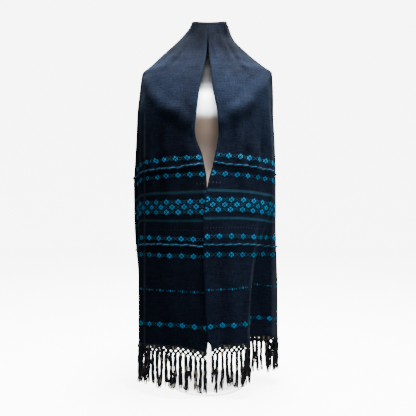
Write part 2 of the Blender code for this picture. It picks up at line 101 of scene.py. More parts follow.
RIGHT = named(Section, [
    (1116, (0, -46), (26, -46), (54, -42), (61, -22), (65, 1), (46, 34), 49),
    (1082, (1, -56), (31, -55), (58, -44), (72, -25), (79, 2), (60, 47), 64),
    (1031, (3, -71), (50, -70), (91, -56), (116, -32), (128, 3), (97, 64), 86),
    (993, (6, -87), (64, -87), (120, -70), (156, -42), (174, 3), (125, 78), 100),
    (973, (8, -98), (72, -99), (141, -82), (179, -49), (199, 3), (142, 88), 107),
    (896, (15, -124), (90, -126), (164, -96), (191, -52), (201, 3), (155, 97), 114),
    (835, (27, -134), (96, -138), (172, -96), (192, -52), (202, 3), (158, 99), 115),
    (775, (31, -136), (97, -140), (174, -96), (196, -51), (206, 3), (162, 99), 115),
    (700, (20, -138), (96, -142), (178, -94), (199, -50), (210, 3), (168, 99), 115),
    (620, (0, -140), (90, -142), (180, -94), (200, -50), (212, 3), (174, 96), 110),
    (530, (-12, -140), (80, -142), (166, -104), (186, -52), (213, 1), (180, 92), 105),
    (418, (-13, -139), (68, -141), (139, -119), (152, -52), (213, -7), (190, 86), 99),
    (310, (-9, -138), (60, -140), (122, -128), (128, -47), (214, -11), (198, 74), 94),
    (168, (-1, -136), (61, -138), (120, -127), (125, -42), (214, -12), (198, 64), 91),
    (155, (8, -136), (62, -138), (120, -127), (124, -42), (214, -12), (198, 63), 91),
    (139, (12, -135), (62, -138), (120, -127), (124, -41), (214, -12), (198, 62), 90),
])

# The long soft folds, as in the CAD: place along a section in named points, at the start and the hem.
Fold = namedtuple("Fold", "place_top place_foot half_top half_foot depth start full")

LEFT_FOLDS = named(Fold, [
    (1.30, 1.05, 0.30, 0.30, 0.003, 1.08, 1.00),
    (0.45, 0.50, 0.35, 0.35, 0.003, 0.84, 0.70),
    (1.35, 1.45, 0.40, 0.40, 0.004, 0.80, 0.50),
    (3.45, 3.40, 0.38, 0.30, 0.006, 0.90, 0.60),
    (4.45, 4.30, 0.35, 0.25, -0.015, 0.88, 0.42),
    (5.20, 4.80, 0.34, 0.24, -0.017, 0.86, 0.42),
    (5.55, 5.08, 0.40, 0.22, 0.007, 0.93, 0.70),
])

RIGHT_FOLDS = named(Fold, [
    (1.20, 1.05, 0.30, 0.30, 0.003, 1.08, 1.00),
    (0.75, 0.60, 0.35, 0.35, -0.004, 0.84, 0.72),
    (1.30, 1.30, 0.35, 0.35, 0.004, 0.84, 0.70),
    (3.50, 3.45, 0.34, 0.34, -0.005, 0.90, 0.60),
    (4.50, 4.36, 0.34, 0.26, -0.014, 0.86, 0.40),
    (5.15, 4.86, 0.35, 0.25, -0.018, 0.87, 0.42),
    (5.52, 5.12, 0.40, 0.22, 0.007, 0.92, 0.70),
])

# Height in millimetres of a weft line at each named point of the section. The level is the line's
# name: the same level is the same stripe of the cloth on either side.
Weft = namedtuple("Weft", "level edge front ridge hollow side rear back")

LEFT_WEFTS = named(Weft, [
    (1116, 1116, 1116, 1116, 1116, 1116, 1116, 1116),
    (1000, 1000, 1000, 1000, 999, 998, 998, 998),
    (860, 860, 858, 853, 848, 842, 836, 830),
    (700, 699, 694, 686, 672, 662, 650, 640),
    (648, 650, 646, 638, 627, 619, 608, 600),
    (572, 572, 569, 567, 553, 545, 537, 530),
    (466, 460, 463, 464, 449, 444, 439, 435),
    (415, 410, 414, 414, 403, 398, 394, 390),
    (315, 305, 312, 311, 306, 303, 300, 298),
    (213, 202, 214, 209, 207, 206, 205, 205),
    (150, 132, 153, 148, 145, 144, 145, 146),
])

RIGHT_WEFTS = named(Weft, [
    (1116, 1116, 1116, 1116, 1116, 1116, 1116, 1116),
    (1000, 1000, 1000, 1000, 999, 998, 998, 998),
    (860, 862, 860, 854, 850, 846, 840, 830),
    (700, 706, 699, 691, 686, 680, 666, 640),
    (648, 654, 647, 638, 633, 628, 616, 600),
    (572, 577, 576, 567, 562, 556, 547, 530),
    (466, 469, 471, 466, 463, 457, 451, 435),
    (415, 417, 418, 415, 412, 405, 399, 390),
    (315, 314, 318, 323, 320, 306, 302, 298),
    (213, 207, 214, 216, 216, 206, 205, 205),
    (150, 147, 157, 160, 161, 150, 147, 146),
])

# Troughs and ridges. Each point of a path is (out from the middle, height, half width, push out), in
# millimetres; behind says that it lies on the back.
Crease = namedtuple("Crease", "side behind path")

CREASES = named(Crease, [
    # Where the cloth turns down over the bust
    (-1, False, [(188, 945, 16, 2), (170, 897, 20, 4), (137, 850, 22, 5), (94, 828, 24, 6),
        (62, 801, 24, 5), (38, 783, 22, 4)]),
    (1, False, [(188, 962, 16, 2), (164, 919, 20, 4), (132, 878, 22, 5), (104, 843, 24, 6),
        (64, 819, 24, 5), (33, 802, 22, 4)]),
    # From the neck over the shoulders
    (-1, False, [(54, 1076, 8, 1), (64, 1054, 10, 3), (92, 1018, 12, 3.6), (126, 984, 14, 2.4),
        (160, 958, 16, 0)]),
    (-1, False, [(72, 1078, 8, 0), (94, 1050, 9, -2.2), (121, 1020, 10, -2.4), (150, 990, 11, -1.2),
        (176, 966, 11, 0)]),
    (-1, False, [(48, 1062, 9, 0), (62, 1010, 10, 2), (72, 960, 12, 2.5), (78, 905, 16, 0)]),
    (1, False, [(78, 1056, 6, 1), (83, 1038, 7, 3.4), (90, 1010, 8, 4.4), (100, 984, 9, 3.6),
        (122, 966, 12, 1.6), (150, 954, 14, 0)]),
    (1, False, [(90, 955, 7, 0), (99, 948, 7, -1.4), (110, 945, 7, -1.4), (122, 947, 7, 0)]),
    (1, False, [(66, 1052, 7, 0), (72, 1020, 8, -4), (80, 990, 9, -4), (90, 960, 12, 0)]),
    (1, False, [(26, 1100, 6, 0), (28, 1082, 6, -2.2), (31, 1045, 7, -2.6), (36, 1010, 9, 0)]),
    (1, False, [(17, 1098, 6, 0), (18, 1075, 6, 1.5), (20, 1035, 7, 2), (22, 1000, 9, 0)]),
    (1, False, [(40, 1098, 6, 0), (44, 1072, 7, 1.8), (52, 1035, 8, 2), (60, 1000, 10, 0)]),
    (-1, False, [(20, 1092, 7, 0), (22, 1070, 8, -1.4), (28, 1030, 9, -1.6), (34, 990, 10, 0)]),
    # Folds that fall from the bust, right
    (1, False, [(100, 825, 10, 0), (96, 780, 11, 1.5), (92, 740, 12, 4.5), (91, 700, 12, 6.5),
        (94, 655, 13, 3.5), (98, 590, 14, 0)]),
    (1, False, [(118, 840, 10, 0), (118, 780, 11, -2.5), (117, 735, 12, -5.5), (117, 700, 12, -6.5),
        (121, 655, 13, -4), (124, 590, 14, 0)]),
    (1, False, [(136, 850, 10, 0), (140, 790, 11, 2.5), (141, 740, 12, 5.5), (142, 700, 12, 6.5),
        (146, 650, 13, 5.5), (147, 600, 14, 3), (146, 540, 14, 0)]),
    (1, False, [(158, 850, 10, 0), (163, 780, 11, -4), (165, 720, 12, -6), (166, 690, 12, -6),
        (169, 650, 13, -5.5), (169, 600, 14, -3), (166, 540, 14, 0)]),
    (1, False, [(76, 820, 9, 0), (71, 780, 10, -3), (67, 735, 11, -3), (66, 690, 12, 0)]),
    (1, False, [(52, 812, 9, 0), (49, 770, 10, 2), (46, 720, 11, 2.5), (44, 670, 12, 0)]),
    # Folds that fall from the bust, left
    (-1, False, [(118, 790, 10, 0), (119, 760, 11, 1.5), (120, 720, 12, 4.5), (121, 685, 12, 5.5),
        (126, 645, 13, 2), (128, 600, 14, 0)]),
    (-1, False, [(138, 790, 10, 0), (142, 760, 11, -1.5), (144, 710, 12, -4.5), (145, 680, 12, -5.5),
        (150, 640, 13, -4), (152, 590, 14, 0)]),
    (-1, False, [(160, 780, 10, 0), (165, 750, 11, 1.5), (167, 710, 12, 4), (168, 670, 12, 5),
        (171, 630, 13, 4), (172, 560, 14, 0)]),
    (-1, False, [(66, 790, 10, 0), (70, 740, 12, -2), (72, 690, 13, -2.5), (74, 620, 14, 0)]),
    (-1, False, [(150, 560, 12, 0), (152, 470, 14, -2), (150, 380, 14, -2), (148, 260, 14, 0)]),
    (-1, False, [(60, 470, 16, 0), (62, 380, 18, 2.5), (66, 280, 18, 2.5), (70, 180, 16, 1)]),
    # The long ridges where the fronts turn
    (-1, False, [(186, 860, 6, 0), (187, 780, 5, 2.5), (188, 700, 5, 3), (189, 500, 5, 3), (190, 330, 5, 3),
        (190, 160, 5, 2)]),
    (1, False, [(140, 620, 9, 0), (136, 540, 9, 1.5), (134, 430, 9, 3), (126, 350, 9, 4),
        (119, 310, 9, 4.5), (117, 220, 9, 4), (115, 155, 9, 3)]),
    (1, False, [(199, 640, 6, 0), (203, 590, 5, 2), (204, 450, 5, 3), (204, 300, 5, 3), (203, 160, 5, 2)]),
    (1, False, [(194, 620, 6, 0), (194, 540, 6, -2), (192, 420, 7, -3), (190, 300, 7, -3),
        (188, 160, 7, -2)]),
    (1, False, [(86, 520, 12, 0), (80, 430, 14, 2), (76, 350, 14, 2.5), (72, 250, 14, 2.5),
        (72, 160, 14, 2)]),
    (1, False, [(106, 500, 10, 0), (104, 430, 11, -2), (98, 350, 12, -3), (95, 250, 12, -3),
        (95, 160, 12, -2)]),
    (1, False, [(24, 560, 14, 0), (26, 460, 16, -2), (28, 330, 16, -2.5), (32, 200, 16, -1)]),
    # The left panel sags towards its free edge
    (-1, False, [(24, 560, 12, 0), (26, 420, 14, -2), (24, 280, 14, -3), (22, 160, 12, -2)]),
    # The back, with folds like the front's
    (-1, True, [(40, 1075, 10, 0), (52, 1035, 12, 4), (84, 985, 14, 6), (112, 935, 16, 5),
        (128, 870, 18, 2), (136, 800, 18, 0)]),
    (1, True, [(38, 1072, 10, 0), (50, 1030, 12, 4), (78, 985, 14, 6), (108, 930, 16, 4.5),
        (122, 860, 18, 2), (128, 790, 18, 0)]),
    (-1, True, [(20, 1060, 10, 0), (34, 1000, 13, -4), (54, 930, 16, -6), (70, 850, 18, -4),
        (80, 780, 18, -2), (86, 700, 16, 0)]),
    (1, True, [(14, 1050, 10, 0), (22, 990, 13, -4), (38, 920, 16, -6), (50, 840, 18, -5),
        (58, 760, 18, -2), (66, 690, 16, 0)]),
    (-1, True, [(22, 960, 13, 0), (24, 900, 15, 5), (32, 840, 16, 6.5), (40, 780, 15, 4.5),
        (48, 720, 12, 2), (60, 660, 10, 0)]),
    (1, True, [(6, 900, 13, 0), (12, 850, 15, 4), (18, 790, 14, 4.5), (24, 740, 12, 2), (34, 710, 9, 0)]),
    (1, True, [(72, 940, 14, 0), (76, 870, 15, 5), (82, 800, 15, 6.5), (92, 710, 14, 5), (106, 620, 12, 3),
        (120, 520, 10, 0)]),
    (-1, True, [(96, 890, 14, 0), (102, 810, 15, 5), (112, 720, 14, 6.5), (126, 620, 12, 5),
        (142, 500, 11, 3), (156, 380, 10, 0)]),
    (-1, True, [(140, 860, 12, 0), (146, 780, 12, -5), (152, 690, 12, -6), (160, 560, 11, -5),
        (168, 420, 10, -3), (174, 300, 10, 0)]),
    (1, True, [(138, 850, 12, 0), (144, 770, 12, -4.5), (152, 680, 12, -6), (162, 560, 11, -5),
        (170, 420, 10, -3), (176, 300, 10, 0)]),
    (1, True, [(168, 840, 11, 0), (172, 770, 11, 4), (178, 680, 11, 5), (186, 560, 10, 4),
        (192, 430, 9, 0)]),
    (-1, True, [(172, 850, 11, 0), (178, 770, 11, 4), (184, 680, 11, 5), (190, 560, 10, 4),
        (196, 430, 9, 0)]),
    # The sides, below the shoulders
    (-1, True, [(196, 930, 12, 0), (206, 880, 13, 3), (212, 800, 13, 4), (216, 700, 13, 3),
        (220, 600, 12, 0)]),
    (1, True, [(186, 930, 12, 0), (194, 880, 13, 3), (198, 800, 13, 4), (203, 700, 13, 3),
        (207, 600, 12, 0)]),
])

# Weft brocade: level of each row of flowers and where the first flower is from the front edge, mm.
Flowers = namedtuple("Flowers", "level left right")

FLOWER_ROWS = named(Flowers, [
    (700, 11, 5),
    (648, 12, 7),
    (572, 14, 6),
    (557.5, 31.5, 23.5),
    (543, 14, 6),
    (466, 6, 11),
    (415, 6, 11),
    (213, 6, 12),
])
FLOWER_PITCH = 35 * MM
CELL = 1.95 * MM

# One flower and the leaf between two flowers, charted a weft float at a time: X is a bright stitch
# and o a dim one.
FLOWER = [
    "...XX...",
    "..XXXX..",
    "XX.XX.XX",
    "XXX..XXX",
    "XXX..XXX",
    "XX.XX.XX",
    "..XXXX..",
    "...XX...",
]
LEAF = [
    "........",
    "o......o",
    ".oo..oo.",
    "...oo...",
    "...oo...",
    ".oo..oo.",
    "o......o",
    "........",
]
DOT_LEVEL = 315
DOT_FIRST = {-1: 5 * MM, 1: 12 * MM}
DOT_SIDES = (-0.0115, -0.0065, 0.0065, 0.0115)  # the dim stitches on either side of a dot

# Couched cords: height in millimetres at the named points, from the front edge to the back.
Cord = namedtuple("Cord", "name side heights")

CORDS = named(Cord, [
    ("cord_upper_left", -1, (681, 669, 661, 648, 641, 632, 624)),
    ("cord_upper_right", 1, (683, 675, 666, 661, 656, 646, 635)),
    ("cord_lower_left", -1, (438, 446, 444, 425, 420, 416, 412)),
    ("cord_lower_right", 1, (445, 447, 445, 440, 430, 426, 420)),
])
CORD_PROUD = 0.0017  # from the cloth to the middle of a cord
PLY_OFF = 0.0012  # from there to the middle of a ply
PLY_RADIUS = 0.00165
PLY_TURN = 0.0240  # length of one turn of the twist
CORD_STEP = 0.0014
CORD_FROM, CORD_TO = 0.0005, 0.003  # where it starts on its path, and how far before the end it stops

# Rings of the dress form, as in the CAD, with its cap as the last: height, half width, front, back, bust.
Ring = namedtuple("Ring", "height half front back bust")

FORM = named(Ring, [
    (0.396, 0.120, 0.070, 0.076, 0),
    (0.399, 0.148, 0.086, 0.094, 0),
    (0.412, 0.158, 0.093, 0.101, 0),
    (0.470, 0.166, 0.099, 0.106, 0),
    (0.530, 0.164, 0.099, 0.103, 0),
    (0.600, 0.143, 0.092, 0.088, 0),
    (0.670, 0.122, 0.086, 0.078, 0),
    (0.730, 0.128, 0.092, 0.082, 0),
    (0.780, 0.142, 0.104, 0.093, 0.007),
    (0.830, 0.160, 0.111, 0.102, 0.018),
    (0.865, 0.166, 0.108, 0.106, 0.014),
    (0.905, 0.173, 0.099, 0.105, 0.004),
    (0.940, 0.189, 0.088, 0.101, 0),
    (0.962, 0.192, 0.079, 0.096, 0),
    (0.980, 0.168, 0.068, 0.084, 0),
    (1.000, 0.124, 0.060, 0.073, 0),
    (1.022, 0.078, 0.051, 0.062, 0),
    (1.045, 0.055, 0.044, 0.051, 0),
    (1.080, 0.046, 0.041, 0.045, 0),
    (1.108, 0.045, 0.041, 0.044, 0),
    (1.1175, 0.040, 0.036, 0.038, 0),
    (1.1199, 0.028, 0.0258, 0.0274, 0),
])
BUST_OUT = 0.085
BUST_HALF = 0.045
FORM_SQUARE = 0.9  # under 1 makes the sections fuller than an ellipse
FORM_SIDES = 96
FORM_STEP = 0.006
FORM_END, FORM_END_STEP = 0.012, 0.0012  # finer rings this near to either end


# ---------------------------------------------------------------- mesh helpers

def new_piece(name, verts, faces, mat, uvs=None, smooth=True):
    """A mesh object; uvs gives a pair for each vertex."""
    mesh = bpy.data.meshes.new(name)
    mesh.from_pydata([tuple(map(float, v)) for v in verts], [], faces)
    mesh.materials.append(mat)
    if uvs is not None:
        layer = mesh.uv_layers.new(name="UVMap")
        pairs = np.asarray(uvs, float)
        index = np.empty(len(mesh.loops), int)
        mesh.loops.foreach_get("vertex_index", index)
        layer.data.foreach_set("uv", pairs[index].ravel())
    if smooth:
        mesh.shade_smooth()
    obj = bpy.data.objects.new(name, mesh)
    bpy.context.scene.collection.objects.link(obj)
    return obj


def rise(x, start, end):
    t = np.clip((x - start) / (end - start), 0, 1)
    return t * t * (3 - 2 * t)


def fall(x, high, low):
    """0 above high and 1 below low."""
    return rise(-x, -high, -low)


def through(xs, ys, x):
    """A smooth curve through the points (xs, ys) that never swings past them."""
    order = np.argsort(xs)
    xs, ys = np.asarray(xs, float)[order], np.asarray(ys, float)[order]
    width = np.diff(xs)
    slope = np.diff(ys) / width
    tangent = np.zeros(len(xs))
    same = slope[1:] * slope[:-1] > 0
    mean = 2 * slope[1:] * slope[:-1] / np.where(same, slope[1:] + slope[:-1], 1)
    tangent[1:-1] = np.where(same, mean, 0)
    tangent[0], tangent[-1] = slope[0], slope[-1]
    x = np.clip(x, xs[0], xs[-1])
    i = np.clip(np.searchsorted(xs, x, side="right") - 1, 0, len(width) - 1)
    t = (x - xs[i]) / width[i]
    start = ys[i] * (1 + 2 * t) * (1 - t) ** 2 + width[i] * tangent[i] * t * (1 - t) ** 2
    end = ys[i + 1] * t * t * (3 - 2 * t) + width[i] * tangent[i + 1] * t * t * (t - 1)
    return start + end


def run_of(points):
    """Distances along a path."""
    return np.concatenate([[0], np.cumsum(np.linalg.norm(np.diff(points, axis=0), axis=1))])


def read_at(distance, run, rows):
    """Rows of three numbers read at distances along a path."""
    return np.column_stack([np.interp(distance, run, rows[:, k]) for k in range(3)])


def ring_faces(rings, sides):
    """The quads between closed rings of vertices, one above another."""
    faces = []
    for r in range(rings - 1):
        for k in range(sides):
            a, b = r * sides + k, r * sides + (k + 1) % sides
            faces.append((a, b, b + sides, a + sides))
    return faces


def unit(vectors):
    return vectors / np.maximum(np.linalg.norm(vectors, axis=-1, keepdims=True), 1e-12)


class Mesh:
    """Collects vertices, faces and a UV pair for each vertex."""

    def __init__(self):
        self.verts, self.faces, self.uvs = [], [], []

    def tube(self, path, radius, sides, uv_u, uv_v, flat=1.0, across=None, cap=True):
        """A tube round a path. radius and uv_v are one number a point; flat squeezes it along across."""
        path = np.asarray(path, float)
        along = unit(np.gradient(path, axis=0))
        if across is None:
            guide = np.array([0.31, 0.87, 0.38]) if abs(along[0][2]) > 0.7 else np.array([0.0, 0.0, 1.0])
            across = unit(np.cross(along, guide))
        other = unit(np.cross(along, across))
        start = len(self.verts)
        radius = np.broadcast_to(radius, len(path))
        for k in range(sides):
            turn = 2 * math.pi * k / sides
            ring = path + radius[:, None] * (flat * math.cos(turn) * across + math.sin(turn) * other)
            self.verts.extend(ring)
            self.uvs.extend((uv_u, v) for v in uv_v)
        n = len(path)
        for k in range(sides):
            a, b = start + k * n, start + (k + 1) % sides * n
            self.faces.extend((a + i, b + i, b + i + 1, a + i + 1) for i in range(n - 1))
        if cap:
            self.faces.append(tuple(start + k * n for k in range(sides))[::-1])
            self.faces.append(tuple(start + k * n + n - 1 for k in range(sides)))

    def piece(self, name, mat):
        return new_piece(name, self.verts, self.faces, mat, self.uvs)


# ---------------------------------------------------------------- the cloth's shape

def softened(heights, depths, height):
    """A depth rounded where the shoulders turn into the chest and the back."""
    sharp = through(heights, depths, height)
    spread = sum(through(heights, depths, height + step) for step in (-SOFTEN, 0, SOFTEN)) / 3
    return sharp + (spread - sharp) * fall(height, 1.08, 1.05) * rise(height, 0.86, 0.92)


def section_points(side, height):
    """The named points of the sections at many heights: an array (heights, points, 2)."""
    table = LEFT if side < 0 else RIGHT
    heights = [row.height * MM for row in table]
    points = []
    for name in Section._fields[1:-1]:
        out = through(heights, [getattr(row, name)[0] * MM for row in table], height)
        depths = [getattr(row, name)[1] * MM for row in table]
        depth = (through if name == "side" else softened)(heights, depths, height)
        points.append(np.column_stack([side * out, depth]))
    back = softened(heights, [row.back * MM for row in table], height)
    points.append(np.column_stack([0 * back, back]))
    return np.stack(points, axis=1)


def plan_at(points, place):
    """Points of the smooth plan curves and their directions, one place for each section."""
    before = 2 * points[:, :1] - points[:, 1:2]
    p = np.concatenate([before, points, points[:, -2:-1] * (-1, 1)], axis=1)
    i = np.minimum(place.astype(int), BACK_STEP - 1)
    t = (place - i)[:, None]
    n = np.arange(len(place))
    a, b, c, d = p[n, i], p[n, i + 1], p[n, i + 2], p[n, i + 3]
    bend, twist = 2 * a - 5 * b + 4 * c - d, 3 * b - a - 3 * c + d
    curve = 0.5 * (2 * b + (c - a) * t + bend * t**2 + twist * t**3)
    along = 0.5 * ((c - a) + 2 * bend * t + 3 * twist * t**2)
    return curve, unit(along)


def spots(side, height, place):
    """Places squeezed past the side so that BACK_STEP is where the cloth ends, also below BACK_HEM."""
    points = section_points(side, height)
    out = ARCH_OUT * np.clip((BACK_HEM - height) / (BACK_HEM - HEM), 0, None) ** ARCH_POWER
    low, high = np.full(len(height), float(SIDE_STEP)), np.full(len(height), float(BACK_STEP))
    for _ in range(HALVINGS):
        middle = (low + high) / 2
        wide = np.abs(plan_at(points, middle)[0][:, 0]) > out
        low, high = np.where(wide, middle, low), np.where(wide, high, middle)
    last = np.where(height >= BACK_HEM, BACK_STEP, high)
    share = (last - SIDE_STEP) / (BACK_STEP - SIDE_STEP)
    return np.where(place > SIDE_STEP, SIDE_STEP + (place - SIDE_STEP) * share, place)


def surface(side, height, spot):
    """Points of the cloth's outer face before any crease, and the level directions out of it."""
    curve, along = plan_at(section_points(side, height), spot)
    outward = np.column_stack([along[:, 1], -along[:, 0]]) * side
    push = np.zeros(len(spot))
    for fold in LEFT_FOLDS if side < 0 else RIGHT_FOLDS:
        down = (fold.start - height) / (fold.start - HEM)
        centre = fold.place_top + (fold.place_foot - fold.place_top) * down
        half = fold.half_top + (fold.half_foot - fold.half_top) * down
        near = np.clip(np.abs(spot - centre) / half, 0, 1)
        push += fold.depth * fall(height, fold.start, fold.full) * np.cos(near * math.pi / 2) ** 2
    curve = curve + outward * push[:, None]
    curve[spot >= BACK_STEP, 0] = 0
    return np.column_stack([curve, height]), np.column_stack([outward, 0 * height])


def weft_heights(side, level, place):
    """Heights of the weft line of one level at many places."""
    table = LEFT_WEFTS if side < 0 else RIGHT_WEFTS
    levels = [row.level * MM for row in table]
    knots = [through(levels, [getattr(row, name) * MM for row in table], np.array([level]))[0]
             for name in Weft._fields[1:]]
    return through(range(len(knots)), knots, place)


CREASE_STEPS = 14  # between two points of a path
CREASE_REACH = 1.6  # how far a crease moves the cloth, in half widths
TRIES = 161  # places on a section where its middle is looked for


def crease_push(side, points):
    """How far the listed creases move each point of one half of the cloth."""
    push = np.zeros(len(points))
    for number, crease in enumerate(CREASES):
        if crease.side != side and not crease.behind:
            continue
        path = np.array(crease.path, float) * MM
        step = np.linspace(0, len(path) - 1, CREASE_STEPS * (len(path) - 1) + 1)
        out, height, half, depth = (np.interp(step, range(len(path)), path[:, k]) for k in range(4))
        ends = (SIDE_STEP, BACK_STEP) if crease.behind else (0, SIDE_STEP)
        tries = np.linspace(*ends, TRIES)
        centres = []
        for x, z in zip(out, height):
            row = surface(crease.side, np.full(len(tries), z), tries)[0]
            order = np.argsort(crease.side * row[:, 0])
            depth_there = np.interp(x, crease.side * row[order, 0], row[order, 1])
            centres.append([crease.side * x, depth_there, z])
        centres = np.array(centres)
        # An uneven depth, so that no crease is a ruled groove
        depth = depth * (1 + 0.22 * np.sin(step * 2.3 + number) + 0.12 * np.sin(step * 5.1 + 2 * number))
        near = np.flatnonzero(np.abs(points[:, 2] - centres[:, 2].mean()) <
                              np.ptp(centres[:, 2]) / 2 + half.max())
        gap = np.linalg.norm(points[near, None, :] - centres[None, :, :], axis=2)
        nearest = gap.argmin(axis=1)
        share = np.clip(gap[np.arange(len(near)), nearest] / (CREASE_REACH * half[nearest]), 0, 1)
        push[near] += depth[nearest] * np.cos(share * math.pi / 2) ** 2
    return push


DRIFT = 0.0011  # of the longer wave, in metres


def drift(points, side):
    """The slight unevenness of hanging cloth, in metres: long vertical waves, less at the neck."""
    x, y, z = points.T
    turn = np.arctan2(y, x)
    wave = np.sin(9 * turn + 5 * z + side) * np.sin(4.3 * z + 2 * turn)
    wave += 0.6 * np.sin(17 * turn - 7 * z + 2 * side) * np.sin(8.1 * z + turn + 1)
    wave *= np.where(y > 0, rise(np.abs(x), 0.005, 0.05), 1)
    return DRIFT * wave * fall(z, 1.08, 0.90)


class Half:
    """One half of the cloth: a grid of rows, each a weft line, and columns, each a place."""

    STEPS = (14, 22, 13, 13, 20, 17)

    def __init__(self, side):
        self.side = side
        self.places = np.array([i + k / n for i, n in enumerate(self.STEPS) for k in range(n)] + [BACK_STEP])
        levels = list(np.linspace(RIM, HEM_LEVEL, ROWS))
        arch = self.level_of(BACK_HEM)
        levels += [arch - drop for drop in ARCH_ROWS]
        self.levels = np.array(sorted(set(levels), reverse=True))
        rows = [weft_heights(side, level, self.places) for level in self.levels]
        height = np.concatenate(rows)
        place = np.tile(self.places, len(rows))
        points, outward = surface(side, height, spots(side, height, place))
        push = crease_push(side, points) + drift(points, side)
        # Nothing moves at the neck rim or across the middle of the back
        push *= fall(height, 1.110, 1.080)
        seam = np.abs(points[:, 0]) < 1e-6
        points = points + outward * push[:, None]
        points[seam & (place >= BACK_STEP), 0] = 0
        shape = (len(rows), len(self.places), 3)
        self.outer = points.reshape(shape)
        across = np.gradient(self.outer, axis=1)
        down = np.gradient(self.outer, axis=0)
        seam = np.abs(self.outer[:, -1, 0]) < 1e-9
        across[seam, -1, 1] = 0
        self.normal = unit(np.cross(down, across)) * side * -1
        facing = np.sum(self.normal * outward.reshape(shape), axis=2, keepdims=True)
        self.normal = self.normal * np.where(facing < 0, -1, 1)
        self.normal[seam, -1, 0] = 0
        self.normal = unit(self.normal)
        step = np.linalg.norm(np.diff(self.outer, axis=1), axis=2)
        self.across = np.concatenate([np.zeros((len(rows), 1)), np.cumsum(step, axis=1)], axis=1)

    def bend_seam(self, middle):
        """Move the middle of the back to given points, and less and less of the cloth beside it."""
        joined = np.abs(self.outer[:, -1, 0]) < 1e-9
        near = fall(np.abs(self.outer[..., :1]), 0.05, 0)
        shift = (middle - self.outer[:, -1])[:, None, :] * joined[:, None, None]
        self.outer = self.outer + shift * near

    def level_of(self, height):
        """The level whose weft line is at a height at the middle of the back."""
        tries = np.linspace(HEM_LEVEL, RIM, 400)
        back = [weft_heights(self.side, level, np.array([float(BACK_STEP)]))[0] for level in tries]
        return float(np.interp(height, back, tries))

    def row_at(self, level):
        r = float(np.interp(-level, -self.levels, np.arange(len(self.levels))))
        i = min(int(r), len(self.levels) - 2)
        return i, r - i

    def pick(self, level, columns):
        """Points and normals of the outer face on one weft line at fractional columns."""
        i, f = self.row_at(level)
        columns = np.clip(np.asarray(columns, float), 0, len(self.places) - 1)
        c = np.minimum(columns.astype(int), len(self.places) - 2)
        g = (columns - c)[:, None]
        found = []
        for grid in (self.outer, self.normal):
            upper = grid[i][c] * (1 - g) + grid[i][c + 1] * g
            lower = grid[i + 1][c] * (1 - g) + grid[i + 1][c + 1] * g
            found.append(upper * (1 - f) + lower * f)
        return found[0], unit(found[1])

    def at(self, level, distance):
        """Points and normals at distances from the front edge along the weft line."""
        i, f = self.row_at(level)
        line = self.across[i] * (1 - f) + self.across[i + 1] * f
        return self.pick(level, np.interp(distance, line, np.arange(len(line))))

    def width(self, level):
        i, f = self.row_at(level)
        return self.across[i, -1] * (1 - f) + self.across[i + 1, -1] * f


LID_SHARES = (0, 0.2, 0.4, 0.6, 0.72, 0.82, 0.9, 0.96, 0.988)  # of the way out to the rim


def lid_rows(edge, under):
    """The small crowned lid over the neck cap, from its middle out to the rim, for both faces."""
    middle = np.array([0, NECK_MIDDLE, TOP])
    for share in LID_SHARES:
        drop = LID_ROUND * max(0, share - LID_FLAT) ** 2
        faces = []
        for rim, z in ((edge, TOP), (under, TOP - CLOTH)):
            row = middle + (rim - middle) * share
            row[:, 2] = z - drop + LID_CURL * row[:, 0] ** 2 * fall(row[:, 1], -0.015, -0.040)
            faces.append(row)
        yield share, faces


def build_cloth(halves, mat):
    """One closed shell: both halves, joined over the neck and down the back."""
    outer, inner, uvs, faces = [], [], [], []
    for half in halves:
        start = len(outer)
        columns = len(half.places)
        under = half.outer - half.normal * CLOTH
        for share, (top, below) in lid_rows(half.outer[0], under[0]):
            outer += list(top)
            inner += list(below)
            uvs += [(half.side * u, RIM + 0.05 * (1 - share)) for u in half.across[0]]
        for r, level in enumerate(half.levels):
            outer += list(half.outer[r])
            inner += list(under[r])
            uvs += [(half.side * u, level) for u in half.across[r]]
        rows = (len(outer) - start) // columns
        for r in range(rows - 1):
            for c in range(columns - 1):
                a = start + r * columns + c
                quad = (a, a + 1, a + columns + 1, a + columns)
                faces.append(quad[::-1] if half.side > 0 else quad)
    found, index = {}, []
    for k, point in enumerate(outer):
        index.append(found.setdefault(tuple(round(float(x), 6) for x in point), k))
    kept = sorted(set(index))
    order = {k: i for i, k in enumerate(kept)}
    count = len(kept)
    sheet = []
    for face in faces:
        ring = list(dict.fromkeys(order[index[k]] for k in face))
        if len(ring) > 2:
            sheet.append(ring)
    edges = {(ring[i - 1], ring[i]) for ring in sheet for i in range(len(ring))}
    rim = [(b, a, a + count, b + count) for a, b in sorted(edges) if (b, a) not in edges]
    back = [[k + count for k in reversed(ring)] for ring in sheet]
    verts = [outer[k] for k in kept] + [inner[k] for k in kept]
    pairs = [uvs[k] for k in kept] * 2
    return new_piece("shawl_cloth", verts, [*sheet, *back, *rim], mat, pairs)


# ---------------------------------------------------------------- brocade, cords and edges

FLOAT_PROUD = 0.00035  # from the cloth to the middle of a float
FLOAT_HALF = 0.00088  # half a float's height
EDGE_CLEAR = 0.0015  # no float comes nearer to an edge
FLOWER_START = -0.008  # the nearest middle of a flower to the front edge, and of a leaf
LEAF_START = 0.004
PAST_EDGE = 0.01  # flowers are placed on this far, and cut at the edge
FLOAT_FLAT = 0.62  # a float is this much thinner than it is high


